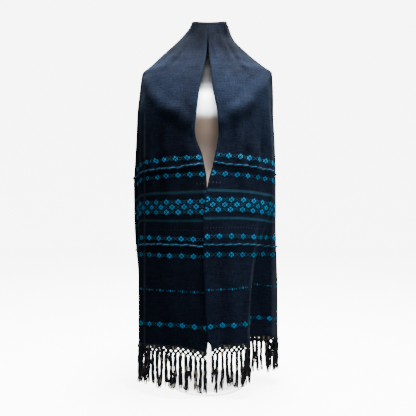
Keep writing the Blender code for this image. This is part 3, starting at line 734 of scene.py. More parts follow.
def add_float(mesh, half, level, first, last, tint):
    """One weft float: a rounded thread that rises out of the cloth and dips back into it."""
    wide = last - first
    steps = np.array([0, 0.12 * CELL / wide, 0.3, 0.5, 0.7, 1 - 0.12 * CELL / wide, 1])
    points, normals = half.at(level, first + wide * steps)
    lift = FLOAT_PROUD * np.array([-0.8, 0.5, 1, 1.15, 1, 0.5, -0.8])
    radius = FLOAT_HALF * np.array([0.35, 0.85, 1, 1, 1, 0.85, 0.35])
    mesh.tube(points + normals * lift[:, None], radius, 5, tint, steps, flat=FLOAT_FLAT, across=normals)


def add_motif(mesh, half, level, middle, chart, want, tint):
    """The floats of one charted motif whose middle is at a level and a distance from the edge."""
    for row, line in enumerate(chart):
        line_level = level + (len(chart) / 2 - 0.5 - row) * CELL
        for run in re.finditer(f"{want}+", line):
            first, last = (middle + (end - len(line) / 2) * CELL for end in run.span())
            if first > EDGE_CLEAR and last < half.width(line_level) - EDGE_CLEAR:
                add_float(mesh, half, line_level, first, last, tint)


def build_brocade(half, name, bright, dim):
    """The rows of flowers, the leaves between them and the row of dots on one half of the cloth."""
    flowers, leaves = Mesh(), Mesh()
    for number, row in enumerate(FLOWER_ROWS):
        first = (row.left if half.side < 0 else row.right) * MM
        level = row.level * MM
        middle = first - FLOWER_PITCH
        k = 0
        while middle < half.width(level) + PAST_EDGE:
            tint = 0.5 + 0.5 * math.sin(1.7 * k + 2.3 * number + half.side)
            if middle > FLOWER_START:
                add_motif(flowers, half, level, middle, FLOWER, "X", tint)
            between = middle + FLOWER_PITCH / 2
            if between > LEAF_START:
                add_motif(leaves, half, level, between, LEAF, "o", tint)
            middle += FLOWER_PITCH
            k += 1
    width = half.width(DOT_LEVEL * MM)
    k = 0
    middle = DOT_FIRST[half.side]
    while middle < width - 0.004:
        for row in (-1, 0, 1):
            level = DOT_LEVEL * MM + row * CELL
            add_float(flowers, half, level, middle - CELL, middle + CELL, 0.5 + 0.5 * math.sin(2.1 * k))
        for off in DOT_SIDES:
            for row in (-0.5, 0.5):
                if 0.002 < middle + off < width - 0.003:
                    add_float(leaves, half, DOT_LEVEL * MM + row * CELL, middle + off - 0.8 * CELL,
                              middle + off + 0.8 * CELL, 0.9)
        middle += FLOWER_PITCH
        k += 1
    return flowers.piece(f"brocade_{name}", bright), leaves.piece(f"brocade_leaves_{name}", dim)


def build_cord(half, cord, mat):
    """A loosely twisted yarn of a light and a dark ply, couched along the cloth."""
    marks = range(len(cord.heights))
    columns = np.arange(len(half.places) - 1)
    path, normals = [], []
    for c in columns:
        place = half.places[c]
        height = through(marks, [h * MM for h in cord.heights], np.array([place]))[0]
        level = float(np.interp(-height, -half.outer[:, c, 2], half.levels))
        point, normal = half.pick(level, [c])
        path.append(point[0])
        normals.append(normal[0])
    path, normals = np.array(path), np.array(normals)
    run = run_of(path)
    count = int(run[-1] / CORD_STEP)
    even = np.linspace(CORD_FROM, run[-1] - CORD_TO, count)
    path = read_at(even, run, path)
    normals = unit(read_at(even, run, normals))
    up = unit(np.cross(np.gradient(path, axis=0), normals))
    up *= np.sign(up[:, 2:3])
    wander = 0.0009 * np.sin(even * 61 + cord.side) + 0.0006 * np.sin(even * 143)
    middle = path + normals * CORD_PROUD + up * wander[:, None]
    mesh = Mesh()
    turn = 2 * math.pi * (even / PLY_TURN + 0.9 * np.sin(even * 37) / (2 * math.pi)) * cord.side
    for ply in (0, 1):
        phase = turn + math.pi * ply
        off = normals * np.cos(phase)[:, None] + up * np.sin(phase)[:, None] * 1.25
        radius = PLY_RADIUS * (1 + 0.12 * np.sin(even * 97 + 3 * ply)) * (0.92 if ply else 1.0)
        radius[[0, -1]] *= 0.5
        mesh.tube(middle + off * PLY_OFF, radius, 6, float(ply), even)
    return mesh.piece(f"{cord.name}_yarn", mat)


EDGE_RADIUS = 0.00105
EDGE_TOP = 1.108  # the cords of the front edges end here, under the rim
EDGE_TINT, HEM_TINT = 0.2, 0.8  # U of the edges' cords and of the hem's


def build_selvedge(halves, mat):
    """The corded selvedges: the two free front edges and the long outer edge at the back."""
    mesh = Mesh()
    for half in halves:
        front = np.flatnonzero(half.levels < EDGE_TOP)
        open_back = np.flatnonzero(np.abs(half.outer[:, -1, 0]) > 0.001)
        for column, rows in ((0, front), (-1, open_back)):
            edge = half.outer[rows, column] - half.normal[rows, column] * CLOTH / 2
            mesh.tube(edge, EDGE_RADIUS, 6, EDGE_TINT, half.levels[rows])
        for drop, radius in ((0.0004, 0.0011), (0.0030, 0.0009)):
            columns = np.arange(len(half.places))
            points, normals = half.pick(HEM_LEVEL + drop, columns)
            mesh.tube(points - normals * CLOTH / 2, radius, 6, HEM_TINT, half.across[-1])
    return mesh.piece("shawl_selvedge", mat)


# ---------------------------------------------------------------- the knotted fringe

# Height of the tips, mm, at named points of the hem line from the front edge to the outer edge.
TIPS = {
    -1: (9, 27, 27, 33, 38, 42, 46),
    1: (13, 28, 40, 52, 34, 40, 46),
}
TASSEL_PITCH = 0.0148
FIRST_KNOTS = 0.0064  # under the hem
SECOND_KNOTS = 0.0125
THIRD_KNOTS = 0.0235
PARTING = 4.15
# How full the tassels are at the named points of the hem line
FULLNESS = {
    -1: (1.20, 1.30, 1.10, 0.75, 0.68, 0.70, 0.80),
    1: (1.00, 0.95, 1.00, 0.85, 0.72, 0.75, 0.85),
}
LEG_YARN = 0.00175
TAIL_YARN = 0.00155
CORE_YARN = 0.0029
KNOT = 0.0040
LAST_KNOT = 0.0042
KNOT_DROP = 0.0008  # from the end of the strands above to the middle of a knot
GATHERED = 8  # warp strands in each tassel's first knot
LEG_SPREAD = 0.0017
OVERHANG = 0.004  # how far a tail may sway past the ends of the hem
STRAY_SHARE = 0.45  # of the holes under the hem have strays in them
STRANDS = 6  # the fewest in a tail; some have up to two more
UNEVEN_TAIL = 0.014  # how much shorter a tail may be
UNEVEN_STRAND = 0.013  # and a strand than its tail
STUB_SHARE, STUB = 0.14, 0.030  # the share of tails that are shorter still, and by how much
TURNED = (1.75, 5.4)  # places that face away, whose tails get few pale flecks as painted shade
LOWEST_HAIR = 0.0065
HAIR = np.array([0.0009, 0.0007, 0.0003])  # radii of a frayed hair, to its tip
FRAYED = 1.5  # U of the frayed ends


def noise_at(*keys):
    """A repeatable number from 0 to 1 for a strand."""
    value = math.sin(sum(k * f for k, f in zip(keys, (12.9898, 78.233, 37.719, 9.151)))) * 43758.5453
    return value - math.floor(value)


def uneven(much, *keys):
    """A repeatable number from minus half of much to plus half."""
    return much * (noise_at(*keys) - 0.5)


class HemLine:
    """The woven end: points, outward directions and distances along it."""

    def __init__(self, half):
        self.half = half
        points = half.outer[-1] - half.normal[-1] * CLOTH / 2
        flat = half.normal[-1].copy()
        flat[:, 2] = 0
        self.points, self.out = points, unit(flat)
        self.along = run_of(points)
        self.length = self.along[-1]

    def at(self, distance, drop, push=0.0):
        distance = np.asarray(distance, float)
        point = read_at(distance, self.along, self.points)
        out = unit(read_at(distance, self.along, self.out))
        point = point + out * np.asarray(push, float).reshape(-1, 1)
        point[:, 2] -= drop
        return point

    def tip(self, distance):
        """How far the longest strands hang below the hem at a distance."""
        place = np.interp(distance, self.along, self.half.places)
        height = np.interp(place, range(BACK_STEP + 1), TIPS[self.half.side]) * MM
        return float(np.interp(distance, self.along, self.points[:, 2]) - height)


def add_knot(mesh, point, size, key):
    """A small hard knot: two crossed turns of yarn."""
    turns = np.linspace(0, 2 * math.pi, 9)
    for k in (0, 1):
        tilt = 0.6 if k else -0.6
        ring = np.column_stack([np.cos(turns) * size * 0.72,
                                np.sin(turns) * size * 0.62 * math.cos(tilt * 1.3),
                                np.sin(turns) * size * math.sin(tilt) * 0.9])
        mesh.tube(point + ring, size * 0.46, 5, key, turns * 0.004, cap=False)


def add_yarn(mesh, path, radius, key, twist=0.0, turn_length=0.02, phase=0.0):
    """A strand of yarn; twist winds it round the path, so that strands of one tassel cross."""
    path = np.asarray(path, float)
    run = run_of(path)
    if twist:
        turn = 2 * math.pi * run / turn_length + phase
        path = path + twist * np.column_stack([np.cos(turn), np.sin(turn), 0 * turn])
    mesh.tube(path, radius, 4, key, run)


def add_legs(mesh, hem, start, end, key):
    """Three strands side by side from one knot to the next; each end is (distance, drop)."""
    for k in range(3):
        spread = (k - 1) * LEG_SPREAD
        drops = np.linspace(start[1] + 0.0016, end[1], 4)
        lines = start[0] + (end[0] - start[0]) * np.array([0.06, 0.42, 0.75, 1.0])
        path = hem.at(lines + spread * np.array([1, 1.3, 1, 0.4]), drops, 0.0005 * (k - 1))
        add_yarn(mesh, path, LEG_YARN, noise_at(*key, k, hem.half.side))


def build_fringe(half, name, mat):
    """Gathered warp, three rows of knots and the free strands with their frayed ends."""
    hem = HemLine(half)
    side = half.side
    mesh = Mesh()
    count = int((hem.length - 0.004) // TASSEL_PITCH) + 1
    start = (hem.length - (count - 1) * TASSEL_PITCH) / 2
    spot = [start + i * TASSEL_PITCH + uneven(0.0012, i, side, 1) for i in range(count)]
    first = [FIRST_KNOTS + uneven(0.0016, i, side, 2) for i in range(count)]
    between = [(spot[i] + spot[i + 1]) / 2 + uneven(0.0020, i, side, 4) for i in range(count - 1)]
    second = [SECOND_KNOTS + uneven(0.003, i, side, 3) for i in range(count - 1)]
    third = [THIRD_KNOTS + uneven(0.005, i, side, 21) for i in range(count)]
    for i in range(count):
        for k in range(GATHERED):
            off = (k - (GATHERED - 1) / 2) / (GATHERED - 1) * TASSEL_PITCH * 0.94
            drops = np.array([-0.0012, 0.0015, 0.6 * first[i], first[i]])
            lines = spot[i] + off * np.array([1, 1, 0.80, 0.40])
            path = hem.at(np.clip(lines, 0, hem.length), drops, 0.0003 * (k % 2))
            add_yarn(mesh, path, LEG_YARN, noise_at(i, k, side))
        add_knot(mesh, hem.at([spot[i]], first[i] + KNOT_DROP)[0], KNOT, noise_at(i, side, 5))
        # Strays that fill some of the holes
        if noise_at(i, side, 22) > 1 - STRAY_SHARE and i < count - 1:
            for k in range(2):
                lines = between[i] + 0.0022 * (k - 0.5) * np.array([1, 1.4, 0.4])
                path = hem.at(lines, np.array([0.0, 0.5 * second[i], second[i]]), 0.0004)
                add_yarn(mesh, path, LEG_YARN * 0.9, 1.30 + 0.11 * k)
    for i in range(count - 1):
        middle = (between[i], second[i])
        for k in (0, 1):
            add_legs(mesh, hem, (spot[i + k], first[i + k]), middle, (i, k))
        add_knot(mesh, hem.at([between[i]], second[i] + KNOT_DROP)[0], KNOT, noise_at(i, side, 6))
        for k in (0, 1):
            add_legs(mesh, hem, middle, (spot[i + k], third[i + k]), (i, 2 + k))
    for i in range(count):
        add_knot(mesh, hem.at([spot[i]], third[i] + 0.001)[0], LAST_KNOT, noise_at(i, side, 23))
        add_tail(mesh, hem, spot[i], third[i], i)
    return mesh.piece(f"{name}_strands", mat)


def add_tail(mesh, hem, s, knot, i):
    """The free strands under one knot: they sway together, cross, and fray at their ends."""
    side = hem.half.side
    longest = hem.tip(s)
    strands = STRANDS + int(noise_at(i, side, 7) * 2.99)
    group = longest - UNEVEN_TAIL * noise_at(i, side, 8) ** 3
    if noise_at(i, side, 27) < STUB_SHARE:
        group -= STUB
    sway = uneven(0.0090, i, side, 9) + 0.0050 * (1, -1, 0)[i % 3] * noise_at(i // 3, side, 24)
    bow = uneven(0.0050, i, side, 10)
    place = float(np.interp(s, hem.along, hem.half.places))
    swing = uneven(0.006, i, side, 11) * (0.25 if 1.8 < place < 5 else 1.0)
    # A parting where the cloth turns inwards behind the side
    if abs(place - PARTING) < 0.3:
        sway = math.copysign(0.006, place - PARTING)
    # The yarn in the middle of the tassel
    part = np.linspace(0, 1, 12)
    drops = knot + 0.002 + (group - 0.012 - knot) * part
    lines = s + sway * (0.9 * part) ** 1.3 + bow * np.sin(0.9 * math.pi * part)
    path = hem.at(np.clip(lines, -OVERHANG, hem.length + OVERHANG), drops, swing * (0.9 * part) ** 1.5)
    full = float(np.interp(place, range(BACK_STEP + 1), FULLNESS[side]))
    thick = CORE_YARN * (0.72 + 0.5 * noise_at(i, side, 25)) * full
    add_yarn(mesh, path, thick * (1 - 0.45 * part**2), noise_at(i, side, 26))
    for k in range(strands):
        own = group - UNEVEN_STRAND * noise_at(i, k, side, 12) ** 2
        part = np.linspace(0, 1, 15)
        drops = knot + 0.003 + (own - knot - 0.003) * part
        around = 2 * math.pi * (k / strands + noise_at(i, side, 17))
        loose = full * (0.0028 + 0.0016 * part + 0.0008 * np.sin(5 * part + 6.28 * noise_at(i, k, side, 18)))
        lines = (s + loose * math.cos(around) + sway * part**1.3 + bow * np.sin(math.pi * part)
                 + 0.0012 * np.sin(9 * part + 6.28 * noise_at(i, k, side, 13)) * part
                 + uneven(0.0030, i, k, side, 14) * part**2)
        push = 0.7 * loose * math.sin(around) + swing * part**1.5
        path = hem.at(np.clip(lines, -OVERHANG, hem.length + OVERHANG), drops, push)
        # Tails that face away get few pale flecks, as painted shade
        key = (noise_at(i, side, 26) + 0.014 * k) * (-1 if TURNED[0] < place < TURNED[1] else 1)
        radius = TAIL_YARN * full**0.5 * (1 - 0.15 * part) * (1 + 0.10 * np.sin(31 * part + k))
        add_yarn(mesh, path, radius, key, twist=0.0007, turn_length=0.024 + 0.01 * abs(key),
                 phase=6.28 * noise_at(i, k, side, 16))
        # Frayed hairs
        end = path[-2]
        for h in range(2):
            spread = uneven(0.0024, i, k, h, side)
            depth = uneven(0.0024, k, h, i, side)
            length = 0.006 + 0.004 * noise_at(h, i, k, side)
            bend = end + (spread * 0.4, depth * 0.4, -length * 0.5)
            hair = np.array([end, bend, end + (spread, depth, -length)])
            hair[:, 2] = np.maximum(hair[:, 2], LOWEST_HAIR)
            mesh.tube(hair, HAIR, 3, FRAYED + abs(key), [0, 0.002, 0.004])


# ---------------------------------------------------------------- the dress form

def build_form(mat):
    """The smooth limbless torso, with smooth curves through its rings."""
    heights = np.array([ring.height for ring in FORM])
    fine = [heights[0]]
    while fine[-1] < heights[-1] - 0.0004:
        here = fine[-1]
        near_end = min(here - heights[0], heights[-1] - here)
        fine.append(min(here + (FORM_END_STEP if near_end < FORM_END else FORM_STEP), heights[-1]))
    fine = np.array(fine)
    half, front, back, bust = (through(heights, [ring[k] for ring in FORM], fine) for k in range(1, 5))
    verts = []
    for r, height in enumerate(fine):
        for k in range(FORM_SIDES):
            turn = 2 * math.pi * k / FORM_SIDES
            ahead = math.cos(turn)
            x = half[r] * math.sin(turn)
            depth = front[r] if ahead > 0 else back[r]
            y = -depth * math.copysign(abs(ahead) ** FORM_SQUARE, ahead)
            if ahead > 0:
                y -= bust[r] * math.exp(-(((abs(x) - BUST_OUT) / BUST_HALF) ** 2)) * ahead
            verts.append((x, y, height))
    faces = ring_faces(len(fine), FORM_SIDES)
    for ring, centre_z, flip in ((0, heights[0], True), (len(fine) - 1, heights[-1], False)):
        centre = len(verts)
        verts.append((0, 0, centre_z))
        for k in range(FORM_SIDES):
            a, b = ring * FORM_SIDES + k, ring * FORM_SIDES + (k + 1) % FORM_SIDES
            faces.append((b, a, centre) if flip else (a, b, centre))
    return new_piece("form_cover", verts, faces, mat)


# ---------------------------------------------------------------- materials

class Shader:
    """A Principled material whose nodes are added by short calls."""

    def __init__(self, name, roughness, **plain):
        self.mat = bpy.data.materials.new(name)
        self.mat.use_nodes = True
        self.tree = self.mat.node_tree
        self.out = self.tree.nodes["Principled BSDF"]
        self.out.inputs["Roughness"].default_value = roughness
        for key, value in plain.items():
            self.out.inputs[key.replace("_", " ")].default_value = value

    def node(self, kind, settings=None, **inputs):
        node = self.tree.nodes.new(kind)
        for key, value in (settings or {}).items():
            setattr(node, key, value)
        for key, value in inputs.items():
            number = key[0] == "i" and key[1:].isdigit()
            self.feed(node.inputs[int(key[1:]) if number else key.replace("_", " ")], value)
        return node

    def feed(self, socket, value):
        if isinstance(value, bpy.types.NodeSocket):
            self.tree.links.new(value, socket)
        else:
            socket.default_value = value

    def math(self, operation, a, b=0.0, c=0.0):
        return self.node("ShaderNodeMath", {"operation": operation}, i0=a, i1=b, i2=c).outputs[0]

    def times(self, first, *rest):
        for value in rest:
            first = self.math("MULTIPLY", first, value)
        return first

    def less(self, value):
        """One less a value."""
        return self.math("SUBTRACT", 1.0, value)

    def near(self, value, middle, close, far, much=1.0):
        """much where a value is near a middle, and 0 away from it."""
        return self.range(self.math("ABSOLUTE", self.math("SUBTRACT", value, middle)), close, far, much, 0.0)

    def wave(self, value, length):
        return self.math("SINE", self.times(value, 2 * math.pi / length))

    def streaks(self, u, v, u_scale, v_scale, z=0.0, detail=2.0, rough=0.5):
        """Noise drawn out along the cloth."""
        return self.noise(self.vector(self.times(u, u_scale), self.times(v, v_scale), z), 1.0, detail, rough)

    def dimmed(self, colour, shade):
        return self.node("ShaderNodeHueSaturation", None, Value=shade, Color=colour).outputs[0]

    def xyz(self):
        return self.node("ShaderNodeSeparateXYZ", None, i0=self.place()).outputs

    def vector(self, x, y, z=0.0):
        return self.node("ShaderNodeCombineXYZ", None, i0=x, i1=y, i2=z).outputs[0]

    def noise(self, vector, scale, detail=2.0, rough=0.5):
        return self.node("ShaderNodeTexNoise", None, Vector=vector, Scale=scale, Detail=detail,
                         Roughness=rough).outputs[0]

    def range(self, value, low, high, to_low=0.0, to_high=1.0):
        node = self.node("ShaderNodeMapRange", {"interpolation_type": "SMOOTHSTEP"}, Value=value)
        for key, number in zip(("From Min", "From Max", "To Min", "To Max"), (low, high, to_low, to_high)):
            node.inputs[key].default_value = number
        return node.outputs["Result"]

    def mix(self, factor, a, b):
        node = self.node("ShaderNodeMix", {"data_type": "RGBA"})
        self.feed(node.inputs[0], factor)
        for socket, value in ((node.inputs[6], a), (node.inputs[7], b)):
            self.feed(socket, (*value, 1) if isinstance(value, tuple) and len(value) == 3 else value)
        return node.outputs[2]

    def uv(self):
        pair = self.node("ShaderNodeUVMap", {"uv_map": "UVMap"}).outputs[0]
        node = self.node("ShaderNodeSeparateXYZ", None, i0=pair)
        return node.outputs[0], node.outputs[1]

    def place(self):
        return self.node("ShaderNodeTexCoord").outputs["Object"]

    def finish(self, colour, height=None, strength=0.3, distance=0.0006, rough=None):
        self.feed(self.out.inputs["Base Color"], colour)
        if rough is not None:
            self.feed(self.out.inputs["Roughness"], rough)
        if height is not None:
            bump = self.node("ShaderNodeBump", None, Strength=strength, Distance=distance, Height=height)
            self.feed(self.out.inputs["Normal"], bump.outputs[0])
        return self.mat


# Linear colours of the yarn, and the woven stripes: level, half width, colour and strength
CLOTH_DARK = (0.0032, 0.0042, 0.0092)
CLOTH_LIGHT = (0.0132, 0.0218, 0.0445)
FOLD_HIGHLIGHT = (0.043, 0.051, 0.070)
FAINT_DOT = (0.035, 0.055, 0.085)
PALE_DASH = (0.10, 0.105, 0.125)
STRIPES = (
    (0.5985, 0.0041, (0.024, 0.082, 0.125), 0.88),
    (0.5180, 0.0037, (0.020, 0.080, 0.122), 0.82),
)


def cloth_material(name="rebozo_weave", plain=False):
    """Navy plain weave of heathered yarn, with its woven stripes. The left end is painted darker, as painted
    shade.
    """
    s = Shader(name, 0.90, Sheen_Weight=0.02, Sheen_Roughness=0.35, Specular_IOR_Level=0.03,
               Sheen_Tint=(0.55, 0.75, 1.0, 1))
    u, v = s.uv()
    warp = s.streaks(u, v, 700, 32, 0.0, 2.5, 0.65)
    weft = s.streaks(u, v, 30, 620, 7.3, 2.5, 0.65)
    fleck = s.streaks(u, v, 210, 170, 3.1, 2.0, 0.6)
    heather = s.math("ADD", s.times(warp, 0.36), s.times(weft, 0.38))
    heather = s.math("ADD", heather, s.times(fleck, 0.26))
    heather = s.range(heather, 0.30, 0.70)
    colour = s.mix(heather, CLOTH_DARK, CLOTH_LIGHT)
    # Broad uneven dye
    cloud = s.range(s.streaks(u, v, 14, 9, detail=3.0), 0.25, 0.75, 0.82, 1.16)
    # Painted shade: the left end is darker; the difference dies out round the back
    left_painted_shade = s.times(s.range(u, -0.012, -0.002, 1.0, 0.0), s.range(u, -0.34, -0.20))
    left_painted_shade = s.less(s.times(left_painted_shade, s.range(v, 0.80, 0.90, 0.52, 0.20)))
    # Painted shade: the weave is darker below the chest, where the brocade starts, and again over the
    # shoulders and towards the neck
    ends = s.times(s.range(v, 0.70, 0.86, 0.72, 1.0), s.range(v, 0.98, 1.055, 1.0, 0.44),
                   s.range(v, 0.905, 0.965, 1.0, 0.74))
    # Painted shade over the right shoulder and above it
    right_shoulder_painted_shade = s.times(s.range(u, 0.0, 0.09), s.range(v, 0.92, 0.965))
    shade = s.times(cloud, left_painted_shade, s.times(ends, s.less(s.times(right_shoulder_painted_shade, 0.30))))
    # Painted highlights along the folds: the edge on the right where the front turns to the side, the ridge
    # on the left and the long fold
    x, y, z = s.xyz()
    below = s.range(z, 0.80, 0.86, 1.0, 0.0)
    right = s.times(s.range(x, 0.194, 0.203), s.range(y, 0.0, 0.02, 1.0, 0.0))
    left = s.times(s.near(x, -0.1885, 0.001, 0.005), s.range(y, -0.06, -0.04, 1.0, 0.0))
    long = s.times(s.near(u, s.math("MULTIPLY_ADD", v, 0.115, 0.107), 0.001, 0.0095),
                   s.range(v, 0.36, 0.56, 1.0, 0.0))
    painted_highlight = s.math("MAXIMUM", s.times(right, 0.75), s.times(long, 0.85))
    painted_highlight = s.times(s.math("MAXIMUM", painted_highlight, left), below)
    if not plain:
        for middle, half, colour_of, much in STRIPES:
            band = s.near(v, middle, half * 0.4, half * 1.5, much)
            patchy = s.range(weft, 0.25, 0.6, 0.55, 1.0)
            colour = s.mix(s.times(band, patchy), colour, colour_of)
        # Faint supplementary dots, and the pale ones near the opening
        dot = s.times(s.range(s.wave(u, 0.0088), 0.35, 0.7), s.near(v, 0.4915, 0.001, 0.0024, 0.55))
        colour = s.mix(dot, colour, FAINT_DOT)
        dash = s.times(s.range(s.wave(u, 0.0105), 0.55, 0.9), s.near(v, 0.6215, 0.0018, 0.0036),
                       s.near(u, 0.0, 0.030, 0.042, 0.6))
        colour = s.mix(dash, colour, PALE_DASH)
    # The painted highlight colour along the folds
    colour = s.mix(s.times(painted_highlight, 0.76), colour, FOLD_HIGHLIGHT)
    weave = s.times(s.wave(u, 0.0022), s.wave(v, 0.0026), 0.35)
    height = s.math("ADD", s.math("ADD", weave, s.times(s.wave(v, 0.0052), 0.25)), s.times(heather, 0.9))
    return s.finish(s.dimmed(colour, shade), height, 0.45, 0.0007)


def brocade_material(name, teal, blue, sheen):
    s = Shader(name, 0.60, Sheen_Weight=sheen, Specular_IOR_Level=0.15)
    patch = s.noise(s.place(), 34.0, 2.0)
    blend = s.math("ADD", s.times(s.uv()[0], 0.45), s.times(patch, 0.75))
    colour = s.mix(s.range(blend, 0.25, 0.85), teal, blue)
    x, y = s.xyz()[:2]
    # Painted shade: the floats on the left front are darker
    front = s.times(s.range(x, -0.02, 0.004, 1.0, 0.0), s.range(y, -0.01, 0.05, 1.0, 0.0))
    left_painted_shade = s.less(s.times(front, 0.28))
    fine = s.node("ShaderNodeVectorMath", {"operation": "SCALE"}, i0=s.place(), Scale=1400.0)
    ply = s.noise(fine.outputs[0], 1.0, 1.0)
    shade = s.times(left_painted_shade, s.range(ply, 0.3, 0.7, 0.75, 1.15))
    return s.finish(s.dimmed(colour, shade), ply, 0.35, 0.0003)


def cord_material():
    """A light blue-grey ply and a dark one; the tube's U says which."""
    s = Shader("couched_cord", 0.80, Sheen_Weight=0.05, Specular_IOR_Level=0.1)
    u, v = s.uv()
    fibre = s.streaks(u, v, 9, 260, detail=3.0)
    light = s.mix(s.range(fibre, 0.3, 0.75), (0.005, 0.056, 0.110), (0.014, 0.115, 0.215))
    dark = s.mix(s.range(fibre, 0.35, 0.75), (0.004, 0.010, 0.018), (0.011, 0.036, 0.062))
    colour = s.mix(u, light, dark)
    fine = s.noise(s.place(), 1700.0, 1.0)
    return s.finish(colour, fine, 0.5, 0.0004)


def yarn_material():
    """Black-navy warp yarn with undyed khaki flecks, fewer where U is below 0 as painted shade, and frayed
    above 1.2.
    """
    s = Shader("fringe_warp", 0.9, Sheen_Weight=0.05, Specular_IOR_Level=0.08)
    u, v = s.uv()
    fleck = s.streaks(u, v, 31.7, 42, detail=1.5)
    pale = s.times(s.range(fleck, 0.57, 0.66, 0.0, 0.85), s.range(u, -0.02, 0.0, 0.25, 1.0),
                   s.range(v, 0.005, 0.013, 0.0, 1.0))
    end = s.range(u, 1.2, 1.3, 0.0, 0.7)
    fibre = s.noise(s.place(), 900.0, 2.0)
    dark = s.mix(fibre, (0.0018, 0.0022, 0.0042), (0.0070, 0.0082, 0.0135))
    khaki = s.mix(fibre, (0.110, 0.092, 0.062), (0.330, 0.285, 0.205))
    colour = s.mix(s.math("MAXIMUM", pale, end), dark, khaki)
    return s.finish(colour, fibre, 0.5, 0.0004)


# The neck's painted shadow, where the collar shades the form: where each step starts and ends, and how light
# it leaves the cover
NECK_SHADES = (
    (0.884, 0.912, 0.12),
    (0.905, 0.930, 0.0165),
    (0.925, 0.955, 0.0058),
    (0.955, 0.985, 0.0048),
)


def form_material():
    """White stretch jersey, tan below the bust and lighter again lower down, partly the cover's own colours
    and partly painted shade; the neck is painted dark as painted shadow.
    """
    s = Shader("form_jersey", 0.85, Specular_IOR_Level=0.04)
    height = s.xyz()[2]
    cloud = s.noise(s.place(), 9.0, 3.0)
    white = s.mix(cloud, (0.84, 0.89, 0.91), (0.90, 0.95, 0.97))
    tan = s.mix(cloud, (0.45, 0.325, 0.248), (0.52, 0.385, 0.298))
    grey = s.mix(cloud, (0.60, 0.470, 0.395), (0.68, 0.535, 0.455))
    # Partly painted shade: tan below the bust and lighter lower down, white on the chest
    body = s.mix(s.range(height, 0.70, 0.80), grey, tan)
    body = s.mix(s.range(height, 0.810, 0.834), body, white)
    # Painted shadow: the jersey greys and then darkens towards the neck
    for low, high, shade in NECK_SHADES:
        body = s.mix(s.range(height, low, high), body, (shade, shade * 1.02, shade * 1.08))
    drawn = s.node("ShaderNodeVectorMath", {"operation": "MULTIPLY"}, i0=s.place(), i1=(1, 1, 0.45))
    return s.finish(body, s.noise(drawn.outputs[0], 900.0, 1.0), 0.18, 0.0004)


def paint_material():
    """Satin white paint, faintly uneven."""
    s = Shader("satin_paint", 0.42, Specular_IOR_Level=0.45)
    cloud = s.noise(s.place(), 22.0, 3.0)
    colour = s.mix(cloud, (0.80, 0.80, 0.795), (0.90, 0.90, 0.895))
    peel = s.noise(s.place(), 420.0, 1.5)
    return s.finish(colour, peel, 0.10, 0.0003, rough=s.range(cloud, 0.2, 0.8, 0.36, 0.50))


# ---------------------------------------------------------------- stage, light and camera

CAMERA_AT = (0.0, -1.65, 0.552)
LENS = 45.35
STAGE_RADIUS = 6.0
STAGE_SIDES = 64
STAGE_GLOW = 7.0


def build_stage():
    """A pale floor under a pale dome."""
    rings = [(radius, 0.0) for radius in (0.0, 0.6, 2.0, STAGE_RADIUS)]
    rise_to_top = np.linspace(0, math.pi / 2, 14)[1:]
    rings += [(STAGE_RADIUS * math.cos(t), STAGE_RADIUS * math.sin(t)) for t in rise_to_top]
    turns = np.linspace(0, 2 * math.pi, STAGE_SIDES, endpoint=False)
    verts = [(radius * math.cos(t), radius * math.sin(t), z) for radius, z in rings for t in turns]
    faces = ring_faces(len(rings), STAGE_SIDES)
    s = Shader("stage_paper", 0.9, Specular_IOR_Level=0.0, Base_Color=(0.8, 0.8, 0.8, 1),
               Emission_Color=(1.0, 1.0, 1.0, 1), Emission_Strength=STAGE_GLOW)
    stage = new_piece("stage", verts, faces, s.mat, smooth=False)
    stage.visible_diffuse = False
    stage.visible_glossy = False
    stage.visible_shadow = False


def area(name, energy, size, at, towards, colour=(1, 1, 1), only=(), unshaded=False):
    """A rectangular lamp; where pieces are named in only, it lights those alone, also through others."""
    light = bpy.data.lights.new(name, "AREA")
    light.shape = "RECTANGLE"
    light.size, light.size_y = size
    light.energy = energy
    light.color = colour
    obj = bpy.data.objects.new(name, light)
    bpy.context.scene.collection.objects.link(obj)
    obj.location = at
    aim = np.array(towards, float) - np.array(at, float)
    yaw = math.atan2(-aim[0], aim[1])
    pitch = math.atan2(math.hypot(aim[0], aim[1]), -aim[2])
    obj.rotation_euler = (pitch, 0, yaw)
    if only:
        lit = bpy.data.collections.new(f"{name}_lights")
        for piece in only:
            lit.objects.link(piece)
        obj.light_linking.receiver_collection = lit
        if unshaded:
            obj.light_linking.blocker_collection = lit


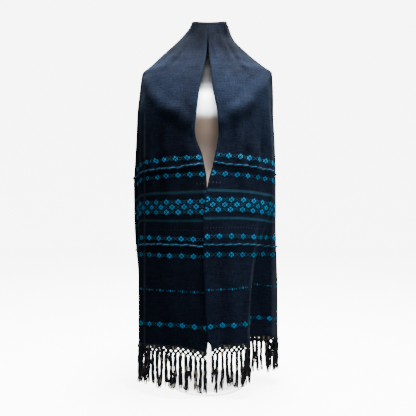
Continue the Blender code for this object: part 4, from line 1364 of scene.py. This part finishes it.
def build_light(form, stand):
    area("overhead", 430, (1.1, 0.5), (0.12, -0.12, 2.6), (0.0, -0.12, 0.9))
    area("form_key", 1000, (1.1, 0.5), (0.0, -0.16, 2.6), (0.0, -0.12, 0.9), only=[form])
    area("front_fill", 20, (1.6, 1.6), (1.5, -2.2, 1.1), (0.0, 0.0, 0.55))
    area("right_fill", 14, (0.8, 1.6), (2.2, -0.9, 1.0), (0.15, -0.05, 0.55))
    area("back_fill", 30, (1.6, 1.6), (-0.5, 2.4, 1.6), (0.0, 0.0, 0.7))
    area("stand_fill", 420, (1.2, 1.2), (0.0, -2.2, 1.3), (0.0, 0.0, 0.1), only=stand, unshaded=True)
    world = bpy.data.worlds.new("studio")
    world.use_nodes = True
    world.node_tree.nodes["Background"].inputs["Color"].default_value = (0.92, 0.96, 1.0, 1)
    world.node_tree.nodes["Background"].inputs["Strength"].default_value = 0.45
    bpy.context.scene.world = world


def build_camera():
    camera = bpy.data.cameras.new("camera")
    camera.lens = LENS
    camera.sensor_width = 36.0
    obj = bpy.data.objects.new("camera", camera)
    bpy.context.scene.collection.objects.link(obj)
    obj.location = CAMERA_AT
    obj.rotation_euler = (math.pi / 2, 0, 0)
    bpy.context.scene.camera = obj


# ---------------------------------------------------------------- the scene

def main():
    left, right = Half(-1), Half(1)
    middle = (left.outer[:, -1] + right.outer[:, -1]) / 2
    left.bend_seam(middle)
    right.bend_seam(middle)
    halves = (left, right)
    cloth = build_cloth(halves, cloth_material())
    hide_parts("shawl_hood", "shawl_back", "shawl_front_left", "shawl_front_right")
    bright = brocade_material("brocade_floats", (0.0, 0.172, 0.300), (0.0, 0.210, 0.470), 0.0)
    dim = brocade_material("brocade_leaf_floats", (0.002, 0.048, 0.070), (0.002, 0.066, 0.115), 0.0)
    trims = []
    for half, name in ((left, "left"), (right, "right")):
        for piece in build_brocade(half, name, bright, dim):
            trims.append(piece)
    cord_mat = cord_material()
    for cord in CORDS:
        piece = build_cord(left if cord.side < 0 else right, cord, cord_mat)
        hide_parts(cord.name)
        trims.append(piece)
    selvedge = build_selvedge(halves, cloth_material("selvedge_weave", plain=True))
    trims.append(selvedge)
    warp = yarn_material()
    for half, name in ((left, "fringe_left"), (right, "fringe_right")):
        piece = build_fringe(half, name, warp)
        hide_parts(name)
        trims.append(piece)
    form = build_form(form_material())
    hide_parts("form_torso")
    for piece in (cloth, *trims, form):
        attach(piece, "root")
    stand = [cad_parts[node] for node in ("stand_pole", "stand_base")]
    paint = paint_material()
    for node in stand:
        for slot in node.material_slots:
            slot.material = paint
    build_stage()
    build_light(form, stand)
    build_camera()
    for piece in (cloth, *trims, form):
        piece.data.calc_loop_triangles()
        print("PIECE", piece.name, len(piece.data.loop_triangles))


main()
